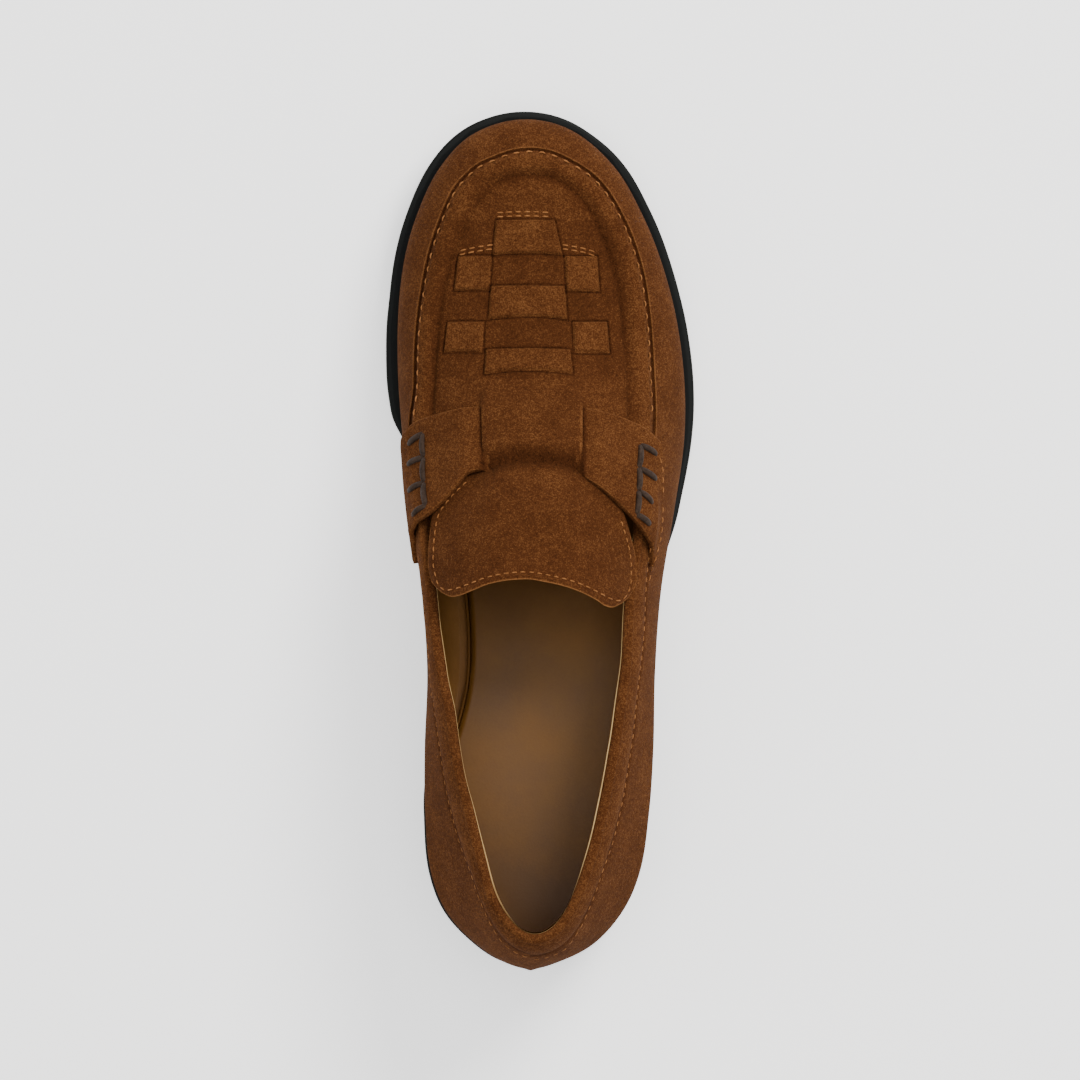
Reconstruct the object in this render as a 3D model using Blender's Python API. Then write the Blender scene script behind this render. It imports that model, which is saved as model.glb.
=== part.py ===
# Right shoe of a pair of women's suede loafers, standing empty on its sole.
# The toe points along +Y, the outer side of the foot lies at +X, and sizes are in metres.
# A moccasin wall rises from a rubber unit sole to a hand-sewn seam round a woven apron.
# A saddle strap passes under the apron's centre strap and over the sides of the tongue.
# Girth runs along each side of the outline, from 0 at the heel to 1 at the toe.
import math

import bpy
import numpy as np
from mathutils import Vector
from mathutils.bvhtree import BVHTree
from mathutils.geometry import delaunay_2d_cdt

# Last
LAST_LENGTH = 0.2644
BALL_WIDTH = 0.0895
HEEL_WIDTH = 0.0713
INSTEP_HEIGHT = 0.060
TOE_BOX_HEIGHT = 0.019
COLLAR_HEIGHT = 0.056
COLLAR_LEAN = 0.0177
SEAM_INSET = 0.0104
ARCH_TUCK = 0.0105
BULGE_HEIGHT = 0.018
WIDTH_BLEND = (0.38, 0.62)

# Upper
WALL_THICKNESS = 0.0022
SHELF_THICKNESS = 0.0013
LASTING_MARGIN = 0.007
COLLAR_ROLL = 0.0034
COLLAR_BAND = 0.008
BAND_STEP = 0.0005
SEAM_EDGE = 0.0017
THROAT_GIRTH = 0.553
COLLAR_TO_SEAM = (0.49, 0.55)
SEAT_GAP = 0.0003

# Apron with its roll, woven strips and centre strap
APRON_THICKNESS = 0.0015
APRON_EDGE = 0.0006
SHELF_DROP = APRON_THICKNESS + 2.0 * SEAT_GAP
ROLL_WIDTH = 0.0072
ROLL_HEIGHT = 0.0013
ROLL_CREASE = 0.0003
STRIP_RAISE = 0.0009
STRIP_BEVEL = 0.0005
STRAP_WIDTH = 0.0313
STRAP_CENTRE = -0.0026
STRAP_LIFT = 0.0017
STRAP_DIP = 0.0020
STRAP_END = 0.0229

# Saddle and tongue
SADDLE_THICKNESS = 0.0014
SADDLE_SINK = 0.0001
SADDLE_LIFT = 0.0017
SADDLE_CLIMB = 0.009
SADDLE_BRIDGE = 0.0006
SADDLE_REACH = 0.054
STRAP_REACH = 0.0157
TONGUE_THICKNESS = 0.0015
TONGUE_START = 0.0225
TONGUE_RECESS = 0.0025
TONGUE_LIFT = 0.0018

# Sole
HEEL_HEIGHT = 0.026
FOREFOOT_THICKNESS = 0.011
TOE_SPRING = 0.008
ARCH_RISE = 0.0145
SOLE_EDGE = 0.0026
WELT_THICKNESS = 0.0036
WELT_GROOVE = 0.0010
LUG_DEPTH = 0.0018
LUG_RIM = 0.010
INSOLE_THICKNESS = 0.0022

# Sections along and across, round the shoe
SECTION_COUNT = 38
LADDER_COLUMNS = 8

OUTLINE_COLUMNS = ("along", "across")
LATERAL_OUTLINE = (
    (0.000, -0.041),
    (0.010, 0.098),
    (0.030, 0.237),
    (0.069, 0.364),
    (0.116, 0.438),
    (0.186, 0.477),
    (0.257, 0.495),
    (0.351, 0.503),
    (0.445, 0.506),
    (0.539, 0.494),
    (0.621, 0.502),
    (0.692, 0.503),
    (0.774, 0.470),
    (0.844, 0.411),
    (0.891, 0.352),
    (0.938, 0.273),
    (0.976, 0.161),
    (0.994, 0.061),
    (1.000, -0.050),
)
MEDIAL_OUTLINE = (
    (0.010, -0.172),
    (0.035, -0.303),
    (0.069, -0.412),
    (0.116, -0.477),
    (0.186, -0.501),
    (0.257, -0.503),
    (0.351, -0.492),
    (0.445, -0.494),
    (0.539, -0.475),
    (0.633, -0.481),
    (0.715, -0.496),
    (0.786, -0.491),
    (0.844, -0.467),
    (0.891, -0.425),
    (0.938, -0.359),
    (0.976, -0.262),
    (0.994, -0.158),
)

# Each zone names the sizes that the shares in its rows follow
WALL_COLUMNS = ("girth", "zone", "edge_in", "edge_up", "foot_in", "wide_up", "lean")
ZONE_SIZES = {
    "collar": {"edge_in": COLLAR_LEAN, "edge_up": COLLAR_HEIGHT},
    "vamp": {"edge_in": SEAM_INSET, "edge_up": INSTEP_HEIGHT},
    "toe": {"edge_in": SEAM_INSET, "edge_up": TOE_BOX_HEIGHT},
}
LATERAL_WALL = (
    (0.000, "collar", 0.580, 1.000, 0.21, 1.00, 2.4),
    (0.035, "collar", 0.500, 0.995, 0.21, 1.00, 2.2),
    (0.060, "collar", 0.710, 0.985, 0.21, 1.00, 1.6),
    (0.100, "collar", 0.910, 0.965, 0.21, 1.00, 1.15),
    (0.150, "collar", 1.000, 0.930, 0.21, 1.00, 1.0),
    (0.200, "collar", 0.940, 0.890, 0.23, 1.00, 1.0),
    (0.260, "collar", 0.835, 0.845, 0.28, 0.95, 1.05),
    (0.320, "collar", 0.710, 0.810, 0.36, 0.90, 1.2),
    (0.380, "collar", 0.610, 0.790, 0.40, 0.88, 1.6),
    (0.440, "collar", 0.635, 0.795, 0.38, 0.85, 1.7),
    (0.500, "collar", 0.640, 0.790, 0.30, 0.80, 1.8),
    (0.555, "vamp", 1.050, 0.690, 0.24, 0.74, 1.8),
    (0.600, "vamp", 1.010, 0.600, 0.20, 0.68, 1.8),
    (0.660, "vamp", 1.020, 0.510, 0.18, 0.62, 1.8),
    (0.730, "vamp", 0.885, 0.435, 0.16, 0.55, 1.8),
    (0.790, "toe", 0.710, 1.220, 0.14, 0.48, 1.9),
    (0.840, "toe", 0.655, 1.130, 0.13, 0.44, 2.0),
    (0.890, "toe", 0.710, 1.060, 0.12, 0.41, 2.0),
    (0.940, "toe", 0.900, 1.020, 0.12, 0.39, 2.0),
    (1.000, "toe", 1.000, 1.000, 0.12, 0.38, 2.0),
)
MEDIAL_WALL = (
    (0.000, "collar", 0.580, 1.000, 0.21, 1.00, 2.4),
    (0.035, "collar", 0.640, 0.995, 0.21, 1.00, 2.0),
    (0.060, "collar", 0.735, 0.985, 0.21, 1.00, 1.5),
    (0.100, "collar", 0.910, 0.965, 0.21, 1.00, 1.1),
    (0.150, "collar", 1.010, 0.930, 0.21, 1.00, 0.95),
    (0.200, "collar", 0.920, 0.890, 0.23, 1.00, 1.05),
    (0.260, "collar", 0.700, 0.850, 0.35, 1.00, 1.35),
    (0.320, "collar", 0.520, 0.820, 0.75, 0.95, 2.0),
    (0.360, "collar", 0.355, 0.805, 0.93, 0.92, 2.8),
    (0.420, "collar", 0.270, 0.795, 1.00, 0.90, 3.0),
    (0.480, "collar", 0.270, 0.780, 1.00, 0.88, 2.6),
    (0.520, "collar", 0.260, 0.700, 0.95, 0.82, 2.3),
    (0.560, "vamp", 0.380, 0.560, 0.80, 0.75, 2.0),
    (0.610, "vamp", 0.350, 0.440, 0.45, 0.65, 1.9),
    (0.660, "vamp", 0.585, 0.430, 0.25, 0.58, 1.8),
    (0.707, "vamp", 0.650, 0.410, 0.18, 0.54, 1.8),
    (0.742, "toe", 0.710, 1.250, 0.15, 0.50, 1.9),
    (0.790, "toe", 0.770, 1.170, 0.13, 0.46, 2.0),
    (0.840, "toe", 0.790, 1.100, 0.12, 0.43, 2.0),
    (0.875, "toe", 0.790, 1.060, 0.12, 0.41, 2.0),
    (0.911, "toe", 0.880, 1.030, 0.12, 0.40, 2.0),
    (0.955, "toe", 1.020, 1.010, 0.12, 0.39, 2.0),
    (1.000, "toe", 1.000, 1.000, 0.12, 0.38, 2.0),
)

# Height of the middle of the top above the sole
TOP_COLUMNS = ("girth", "zone", "edge_up")
TOP_LINE = (
    (0.440, "vamp", 1.130),
    (0.480, "vamp", 1.070),
    (0.520, "vamp", 1.020),
    (0.560, "vamp", 0.955),
    (0.610, "vamp", 0.842),
    (0.660, "vamp", 0.725),
    (0.700, "vamp", 0.635),
    (0.730, "vamp", 0.585),
    (0.770, "vamp", 0.533),
    (0.800, "toe", 1.560),
    (0.838, "toe", 1.420),
    (0.868, "toe", 1.320),
    (0.900, "toe", 1.200),
    (0.955, "toe", 1.070),
    (1.000, "toe", 1.000),
)

# Pitch is a share of the drop from heel to forefoot, spring of the toe spring, arch of the arch rise
SOLE_COLUMNS = ("along", "pitch", "spring", "arch")
SOLE_LINE = (
    (0.000, 1.00, 0.00, 0.00),
    (0.200, 1.00, 0.00, 0.00),
    (0.248, 0.99, 0.00, 0.00),
    (0.262, 0.98, 0.00, 1.00),
    (0.300, 0.94, 0.00, 0.98),
    (0.360, 0.81, 0.00, 0.87),
    (0.440, 0.54, 0.00, 0.59),
    (0.520, 0.25, 0.00, 0.26),
    (0.580, 0.09, 0.00, 0.07),
    (0.625, 0.02, 0.00, 0.00),
    (0.680, 0.00, 0.00, 0.00),
    (0.740, 0.00, 0.00, 0.00),
    (0.800, 0.00, 0.09, 0.00),
    (0.860, 0.00, 0.28, 0.00),
    (0.930, 0.00, 0.61, 0.00),
    (1.000, 0.00, 1.00, 0.00),
)

# How far the sole shows past the upper, as a share of the sole edge, or of the arch tuck where it hides
MARGIN_COLUMNS = ("girth", "lateral", "medial", "lateral_tuck", "medial_tuck")
SOLE_MARGINS = (
    (0.000, 0.00, 0.00, 0.08, 0.08),
    (0.050, 0.00, 0.08, 0.08, 0.00),
    (0.130, 0.00, 0.17, 0.08, 0.00),
    (0.217, 0.00, 0.06, 0.08, 0.00),
    (0.270, 0.00, 0.00, 0.10, 0.12),
    (0.330, 0.00, 0.00, 0.16, 0.52),
    (0.400, 0.00, 0.00, 0.20, 0.80),
    (0.466, 0.04, 0.00, 0.12, 0.80),
    (0.530, 0.42, 0.00, 0.00, 0.62),
    (0.590, 0.72, 0.10, 0.00, 0.20),
    (0.633, 0.92, 1.00, 0.00, 0.00),
    (0.670, 0.98, 1.27, 0.00, 0.00),
    (0.715, 0.96, 1.24, 0.00, 0.00),
    (0.755, 0.90, 1.08, 0.00, 0.00),
    (0.840, 0.96, 1.10, 0.00, 0.00),
    (0.900, 0.95, 1.12, 0.00, 0.00),
    (0.940, 0.78, 0.98, 0.00, 0.00),
    (1.000, 0.84, 0.84, 0.00, 0.00),
)

# Front and rear edges of the saddle, with the reach from the strap's centre as a share of its full reach
SADDLE_COLUMNS = ("reach", "front", "rear")
SADDLE_EDGES = (
    (-1.000, 0.602, 0.474),
    (-0.944, 0.618, 0.476),
    (-0.898, 0.627, 0.484),
    (-0.861, 0.633, 0.505),
    (-0.763, 0.642, 0.520),
    (-0.659, 0.648, 0.530),
    (-0.548, 0.653, 0.548),
    (-0.463, 0.656, 0.566),
    (-0.385, 0.659, 0.581),
    (-0.320, 0.661, 0.587),
    (-0.311, 0.655, 0.615),
    (0.000, 0.655, 0.616),
    (0.311, 0.655, 0.615),
    (0.320, 0.660, 0.580),
    (0.361, 0.656, 0.570),
    (0.424, 0.653, 0.561),
    (0.522, 0.647, 0.543),
    (0.598, 0.642, 0.531),
    (0.696, 0.634, 0.515),
    (0.778, 0.625, 0.502),
    (0.822, 0.619, 0.495),
    (0.870, 0.604, 0.487),
    (0.926, 0.591, 0.476),
)

# Side edges of the tongue, with the places across as shares of the local width of the last
TONGUE_SIDE_COLUMNS = ("along", "medial", "lateral")
TONGUE_SIDES = (
    (0.425, -0.400, 0.360),
    (0.438, -0.425, 0.388),
    (0.458, -0.447, 0.396),
    (0.474, -0.449, 0.389),
    (0.491, -0.437, 0.371),
    (0.505, -0.425, 0.351),
    (0.532, -0.398, 0.313),
    (0.556, -0.337, 0.261),
    (0.584, -0.258, 0.198),
    (0.590, -0.203, 0.162),
)

# Rear edge of the tongue, from its medial corner to its lateral corner
TONGUE_REAR_COLUMNS = ("share", "along")
TONGUE_REAR = (
    (0.000, 0.455),
    (0.030, 0.443),
    (0.070, 0.438),
    (0.150, 0.443),
    (0.270, 0.452),
    (0.400, 0.458),
    (0.500, 0.457),
    (0.620, 0.451),
    (0.750, 0.440),
    (0.880, 0.427),
    (0.940, 0.425),
    (0.975, 0.432),
    (1.000, 0.447),
)

# Raised lengths of the woven strips: front and rear along the last, and the four corners across it
WEAVE_COLUMNS = ("front", "rear", "left_front", "left_rear", "right_front", "right_rear")
WEAVE = (
    (0.880, 0.839, -0.153, -0.165, 0.050, 0.078),
    (0.803, 0.764, -0.172, -0.180, 0.086, 0.095),
    (0.728, 0.699, -0.187, -0.195, 0.105, 0.114),
    (0.838, 0.798, -0.285, -0.298, -0.168, -0.176),
    (0.761, 0.725, -0.323, -0.334, -0.195, -0.201),
    (0.838, 0.796, 0.086, 0.094, 0.199, 0.208),
    (0.761, 0.724, 0.114, 0.119, 0.232, 0.242),
)


def smooth(value, low, high):
    share = min(1.0, max(0.0, (value - low) / (high - low)))
    return share * share * (3.0 - 2.0 * share)


def mix(first, second, share):
    return first + (second - first) * share


def curve_through(knots, values, at):
    # Cubic through the rows with slopes that never overshoot
    knots = np.asarray(knots, float)
    values = np.asarray(values, float)
    steps = np.diff(knots)
    slopes = np.diff(values) / steps
    tangents = np.zeros(len(knots))
    tangents[0] = slopes[0]
    tangents[-1] = slopes[-1]
    for row in range(1, len(knots) - 1):
        if slopes[row - 1] * slopes[row] > 0.0:
            before = 2.0 * steps[row] + steps[row - 1]
            after = steps[row] + 2.0 * steps[row - 1]
            tangents[row] = (before + after) / (before / slopes[row - 1] + after / slopes[row])
    place = min(max(at, knots[0]), knots[-1])
    row = min(int(np.searchsorted(knots, place, side="right")) - 1, len(knots) - 2)
    share = (place - knots[row]) / steps[row]
    square = share * share
    cube = square * share
    return (
        (2.0 * cube - 3.0 * square + 1.0) * values[row]
        + (cube - 2.0 * square + share) * steps[row] * tangents[row]
        + (3.0 * square - 2.0 * cube) * values[row + 1]
        + (cube - square) * steps[row] * tangents[row + 1]
    )


def table(columns, rows):
    # Lengths given as shares become metres through their row's zone
    keys = [row[0] for row in rows]
    lists = {}
    for index, name in enumerate(columns[1:], start=1):
        if name == "zone":
            continue
        scale = [1.0] * len(rows)
        if "zone" in columns and name in ZONE_SIZES["toe"]:
            scale = [ZONE_SIZES[row[columns.index("zone")]][name] for row in rows]
        lists[name] = [row[index] * size for row, size in zip(rows, scale)]

    def read(name, at):
        return float(curve_through(keys, lists[name], at))

    return read


sole_line = table(SOLE_COLUMNS, SOLE_LINE)
margins = table(MARGIN_COLUMNS, SOLE_MARGINS)
top_line = table(TOP_COLUMNS, TOP_LINE)
walls = {"lateral": table(WALL_COLUMNS, LATERAL_WALL), "medial": table(WALL_COLUMNS, MEDIAL_WALL)}
saddle_edges = table(SADDLE_COLUMNS, SADDLE_EDGES)
tongue_sides = table(TONGUE_SIDE_COLUMNS, TONGUE_SIDES)
tongue_rear = table(TONGUE_REAR_COLUMNS, TONGUE_REAR)
TOE_MARGIN = SOLE_EDGE * margins("lateral", 1.0)
HEEL_Y = -(LAST_LENGTH + TOE_MARGIN) / 2.0


def along_at(y):
    return (y - HEEL_Y) / LAST_LENGTH


def sole_top(y):
    along = along_at(y)
    drop = HEEL_HEIGHT - FOREFOOT_THICKNESS
    return FOREFOOT_THICKNESS + drop * sole_line("pitch", along) + TOE_SPRING * sole_line("spring", along)


def sole_under(y):
    along = along_at(y)
    return ARCH_RISE * sole_line("arch", along) + TOE_SPRING * sole_line("spring", along)


def on_last(across, along):
    # Place in plan from shares of the local width and of the length
    width = mix(HEEL_WIDTH, BALL_WIDTH, smooth(along, *WIDTH_BLEND))
    return np.array([across * width, HEEL_Y + along * LAST_LENGTH])


def closed_curve(points, per_span=60):
    # Closed curve through the points, with knots spaced by the root of the chords
    count = len(points)
    chords = [math.sqrt(np.linalg.norm(points[(i + 1) % count] - points[i])) for i in range(count)]
    samples = []
    for i in range(count):
        before, start = points[i - 1], points[i]
        end, after = points[(i + 1) % count], points[(i + 2) % count]
        left, middle, right = chords[i - 1], chords[i], chords[(i + 1) % count]
        leave = (end - start) / middle - (end - before) / (left + middle) + (start - before) / left
        arrive = (after - end) / right - (after - start) / (middle + right) + (end - start) / middle
        for step in range(per_span):
            t = step / per_span
            samples.append(
                (2 * t**3 - 3 * t**2 + 1) * start
                + (t**3 - 2 * t**2 + t) * middle * leave
                + (3 * t**2 - 2 * t**3) * end
                + (t**3 - t**2) * middle * arrive
            )
    return np.array(samples)


def outline_sides():
    # Two sides from the heel to the toe, each with its girth shares and inward normals
    rows = list(LATERAL_OUTLINE) + list(reversed(MEDIAL_OUTLINE))
    curve = closed_curve([on_last(across, along) for along, across in rows])
    ahead = np.roll(curve, -1, axis=0) - np.roll(curve, 1, axis=0)
    ahead /= np.linalg.norm(ahead, axis=1)[:, None]
    inward = np.stack([-ahead[:, 1], ahead[:, 0]], axis=1)
    toe = 60 * (len(LATERAL_OUTLINE) - 1)
    order = {
        "lateral": np.arange(0, toe + 1),
        "medial": np.concatenate([[0], np.arange(len(curve) - 1, toe - 1, -1)]),
    }
    sides = {}
    for side, index in order.items():
        points = curve[index]
        lengths = np.linalg.norm(np.diff(points, axis=0), axis=1)
        girth = np.concatenate([[0.0], np.cumsum(lengths)])
        sides[side] = (girth / girth[-1], points, inward[index])
    return sides


SIDES = outline_sides()


def side_point(side, girth):
    shares, points, inward = SIDES[side]
    place = np.array([np.interp(girth, shares, points[:, axis]) for axis in (0, 1)])
    normal = np.array([np.interp(girth, shares, inward[:, axis]) for axis in (0, 1)])
    return place, normal / np.linalg.norm(normal)


def girth_at(side, y):
    shares, points, _ = SIDES[side]
    return float(np.interp(y, points[:, 1], shares))


class Wall:
    # One upright section of the upper, as insets from the outline and heights above the sole
    def __init__(self, side, girth):
        read = walls[side]
        self.girth = girth
        self.place, self.normal = side_point(side, girth)
        self.edge_in = read("edge_in", girth)
        self.edge_up = read("edge_up", girth)
        self.foot_in = read("foot_in", girth) * ARCH_TUCK
        self.wide_up = read("wide_up", girth) * BULGE_HEIGHT
        self.lean = read("lean", girth)
        self.front = smooth(girth, *COLLAR_TO_SEAM)
        self.shoulder_in = self.edge_in - mix(COLLAR_ROLL, SEAM_EDGE, self.front)
        self.shoulder_up = self.edge_up - mix(0.0012, 0.0009, self.front)
        self.top_in = self.edge_in - mix(COLLAR_ROLL / 2.0, APRON_EDGE, self.front)
        foot = self.place + self.normal * self.foot_in
        self.base = sole_top(foot[1]) + SEAT_GAP

    def inset(self, up):
        if up < self.wide_up:
            turn = math.acos(max(-1.0, 1.0 - up / self.wide_up))
            return self.foot_in * (1.0 - math.sin(turn))
        share = (up - self.wide_up) / (self.shoulder_up - self.wide_up)
        return self.shoulder_in * share**self.lean

    def slant(self, up):
        step = 0.0002
        return (self.inset(up + step) - self.inset(up - step)) / (2.0 * step)

    def solid(self, inset, up):
        plan = self.place + self.normal * inset
        return Vector((plan[0], plan[1], self.base + up))

    def on_sole(self, inset, up):
        plan = self.place + self.normal * inset
        return Vector((plan[0], plan[1], sole_top(plan[1]) + SEAT_GAP + up))

    def rise(self, share):
        return mix(self.wide_up, self.shoulder_up, share)


WALL_TURNS = (38.0, 68.0)
WALL_SHARES = (0.14, 0.38, 0.62)


def wall_outside(wall):
    # Levels from the lasting margin to the collar's lip or to the shelf under the apron
    points = [wall.on_sole(wall.foot_in + LASTING_MARGIN, 0.0), wall.on_sole(wall.foot_in, 0.0)]
    for turn in WALL_TURNS:
        up = wall.wide_up * (1.0 - math.cos(math.radians(turn)))
        points.append(wall.solid(wall.inset(up), up))
    for share in WALL_SHARES:
        up = wall.rise(share)
        points.append(wall.solid(wall.inset(up), up))
    band_up = wall.shoulder_up - COLLAR_BAND
    collar = [
        wall.solid(wall.inset(band_up), band_up),
        wall.solid(wall.inset(band_up + BAND_STEP) - BAND_STEP, band_up + BAND_STEP),
        wall.solid(wall.shoulder_in - BAND_STEP, wall.shoulder_up),
        wall.solid(wall.edge_in - COLLAR_ROLL / 2.0, wall.edge_up),
        wall.solid(wall.edge_in, wall.edge_up - 0.0008),
    ]
    seam = []
    for share in (0.8, 0.93):
        up = wall.rise(share)
        seam.append(wall.solid(wall.inset(up), up))
    seam.append(wall.solid(wall.shoulder_in, wall.shoulder_up))
    seam.append(wall.solid(wall.shoulder_in + 0.0003, wall.edge_up - SHELF_DROP - 0.0006))
    seam.append(wall.solid(wall.edge_in + 0.0005, wall.edge_up - SHELF_DROP))
    points += [low.lerp(high, wall.front) for low, high in zip(collar, seam)]
    return points


def wall_inside(wall, outside):
    # The same levels on the lining side
    thick = WALL_THICKNESS
    limit = wall.edge_up - mix(0.006, SHELF_DROP + SHELF_THICKNESS + 0.0006, wall.front)
    points = [wall.on_sole(wall.foot_in + LASTING_MARGIN, thick)]
    heights = [0.0] + [point.z - wall.base for point in outside[2:10]]
    for up in heights:
        lifted = thick + (limit - thick) * max(0.0, up) / heights[-1]
        slope = wall.slant(lifted)
        swell = mix(1.0, mix(1.2, 1.0, wall.front), up / heights[-1])
        points.append(wall.solid(wall.inset(lifted) + swell * thick * math.hypot(1.0, slope), lifted))
    lip = wall.solid(wall.edge_in + 0.0001, wall.edge_up - 0.0020)
    shelf = wall.solid(wall.edge_in + 0.0005, wall.edge_up - SHELF_DROP - SHELF_THICKNESS)
    last = lip.lerp(shelf, wall.front)
    points.append(points[-1].lerp(last, 0.5))
    points.append(last)
    return points


TOP_POWER = 2.3
SIDE_FALL = 0.35


class TopRow:
    # One crosswise line of the top, from the medial edge at share 0 to the lateral edge at share 1
    def __init__(self, girth):
        medial = Wall("medial", girth)
        lateral = Wall("lateral", girth)
        self.start = medial.solid(medial.top_in, medial.edge_up)
        self.end = lateral.solid(lateral.top_in, lateral.edge_up)
        height = (medial.base + lateral.base) / 2.0 + top_line("edge_up", girth)
        self.crown = height - (self.start.z + self.end.z) / 2.0
        self.width = max(self.end.x - self.start.x, 0.0001)

    def point(self, share):
        place = self.start.lerp(self.end, share)
        place.z += self.crown * (1.0 - abs(2.0 * share - 1.0) ** TOP_POWER)
        return place


class TopSkin:
    # Height of the bare top over a place in plan, read between many crosswise lines
    def __init__(self, first=0.42, count=260):
        girths = np.linspace(first, 1.0, count)
        self.rows = [TopRow(girth) for girth in girths]
        self.fall = np.array([SIDE_FALL * (1.0 - smooth(girth, 0.82, 0.92)) for girth in girths])
        self.start = np.array([row.start for row in self.rows])
        self.end = np.array([row.end for row in self.rows])
        self.crown = np.array([row.crown for row in self.rows])
        self.width = np.array([row.width for row in self.rows])

    def height(self, x, y):
        share = (x - self.start[:, 0]) / self.width
        held = np.clip(share, 0.0, 1.0)
        lines = self.start[:, 1] + (self.end[:, 1] - self.start[:, 1]) * held
        rise = self.crown * (1.0 - np.abs(2.0 * held - 1.0) ** TOP_POWER)
        heights = self.start[:, 2] + (self.end[:, 2] - self.start[:, 2]) * held + rise
        heights = heights - np.abs(share - held) * self.width * self.fall
        return float(np.interp(y, lines, heights))

    def steepness(self, x, y):
        step = 0.0004
        across = (self.height(x + step, y) - self.height(x - step, y)) / (2.0 * step)
        along = (self.height(x, y + step) - self.height(x, y - step)) / (2.0 * step)
        return math.hypot(1.0, min(math.hypot(across, along), 1.6))

    def sheet(self, x, y, lift, thickness):
        # Outer and inner corners of a sheet whose outer face lies a lift above the top
        ground = self.height(x, y)
        steep = self.steepness(x, y)
        over = Vector((x, y, ground + lift * steep))
        under = Vector((x, y, ground + (lift - thickness) * steep))
        return over, under


class Body:
    # Lines over the instep at a steady reach from the strap's centre, down onto both walls
    def __init__(self):
        self.girths = np.linspace(0.40, 0.70, 91)
        self.profiles = [self.profile(girth) for girth in self.girths]

    def profile(self, girth):
        sides = {side: Wall(side, girth) for side in ("medial", "lateral")}
        ups = np.linspace(0.30, 1.0, 20)
        medial = [sides["medial"] for _ in ups]
        rising = [wall.solid(wall.inset(wall.shoulder_up * up), wall.shoulder_up * up) for wall, up in zip(medial, ups)]
        row = TopRow(girth)
        crossing = [row.point(share) for share in np.linspace(0.0, 1.0, 41)]
        wall = sides["lateral"]
        falling = [wall.solid(wall.inset(wall.shoulder_up * up), wall.shoulder_up * up) for up in ups[::-1]]
        points = np.array(rising + crossing + falling)
        lengths = np.linalg.norm(np.diff(points, axis=0), axis=1)
        reach = np.concatenate([[0.0], np.cumsum(lengths)])
        top = slice(len(rising), len(rising) + len(crossing))
        reach = reach - np.interp(STRAP_CENTRE, points[top, 0], reach[top])
        return reach, points

    def column(self, reach):
        # Points along the foot at one reach
        return np.array(
            [[np.interp(reach, along, points[:, axis]) for axis in range(3)] for along, points in self.profiles]
        )

    def line(self, reach):
        # Places and outward normals along the foot, read by y
        step = 0.0015
        middle = (self.column(reach - step) + self.column(reach + step)) / 2.0
        across = self.column(reach + step) - self.column(reach - step)
        along = np.gradient(middle, axis=0)
        normals = np.cross(across, along)
        normals /= np.linalg.norm(normals, axis=1)[:, None]

        def at(y, lift):
            place = [np.interp(y, middle[:, 1], middle[:, axis]) for axis in range(3)]
            normal = [np.interp(y, middle[:, 1], normals[:, axis]) for axis in range(3)]
            return Vector(place) + Vector(normal).normalized() * lift

        return at


# Ramps along the foot, from where each begins to where it ends
STRAP_RAMP = (0.0440, 0.0400)
STRAP_DIP_RAMP = (0.0285, 0.0232)
TONGUE_RAMP = (0.0170, 0.0060)
RECESS_RAMP = (0.0380, 0.0320)


def ramp(y, span):
    return smooth(-y, -span[0], -span[1])


def recess_under_tongue(y):
    return TONGUE_RECESS * ramp(y, RECESS_RAMP)


def strap_lift(y):
    # The centre strap climbs over the saddle, then dips behind it to meet the tongue
    return STRAP_LIFT * ramp(y, STRAP_RAMP) - (STRAP_LIFT + STRAP_DIP) * ramp(y, STRAP_DIP_RAMP)


def tongue_lift(y):
    return mix(-STRAP_DIP, TONGUE_LIFT, ramp(y, TONGUE_RAMP))


def saddle_lift(reach, y):
    # Sunk under the centre strap, then over the wall's seam, and higher again over the tongue
    out = smooth(abs(reach) - STRAP_REACH, 0.001, 0.001 + SADDLE_CLIMB)
    over = (TONGUE_LIFT + SEAT_GAP) * ramp(y, TONGUE_RAMP) * (1.0 - smooth(abs(reach), 0.040, 0.048))
    bridge = SADDLE_BRIDGE * smooth(abs(reach), 0.031, 0.037)
    return mix(-SADDLE_SINK, SADDLE_LIFT, out) + over * out + bridge


def leather(name, colour, roughness):
    material = bpy.data.materials.new(name)
    material.use_nodes = True
    shader = material.node_tree.nodes["Principled BSDF"]
    shader.inputs["Base Color"].default_value = (*colour, 1.0)
    shader.inputs["Roughness"].default_value = roughness
    shader.inputs["Metallic"].default_value = 0.0
    material.diffuse_color = (*colour, 1.0)
    return material


def add_piece(name, points, faces, material, sharp_angle=40.0):
    mesh = bpy.data.meshes.new(name)
    mesh.from_pydata([tuple(point) for point in points], [], faces)
    mesh.materials.append(material)
    mesh.shade_smooth()
    mesh.set_sharp_from_angle(angle=math.radians(sharp_angle))
    piece = bpy.data.objects.new(name, mesh)
    bpy.context.scene.collection.objects.link(piece)
    return piece


def close_sheets(outside, inside, faces):
    # Both sheets share one set of faces, and walls close every open edge between them
    count = len(outside)
    used = {}
    for face in faces:
        for here, there in zip(face, face[1:] + face[:1]):
            used[(here, there)] = used.get((here, there), 0) + 1
    closed = [tuple(face) for face in faces]
    closed += [tuple(corner + count for corner in reversed(face)) for face in faces]
    for here, there in used:
        if (there, here) not in used:
            closed.append((there, here, here + count, there + count))
    return list(outside) + list(inside), closed


def ladder_faces(rows):
    # Each row lists its corners from the medial to the lateral side, and a row of one is a tip
    faces = []
    for row, ahead in zip(rows, rows[1:]):
        if len(row) == 1:
            faces += [[row[0], right, left] for left, right in zip(ahead, ahead[1:])]
        elif len(ahead) == 1:
            faces += [[left, right, ahead[0]] for left, right in zip(row, row[1:])]
        else:
            pairs = zip(row, row[1:], ahead[1:], ahead)
            faces += [list(corners) for corners in pairs]
    return faces


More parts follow.
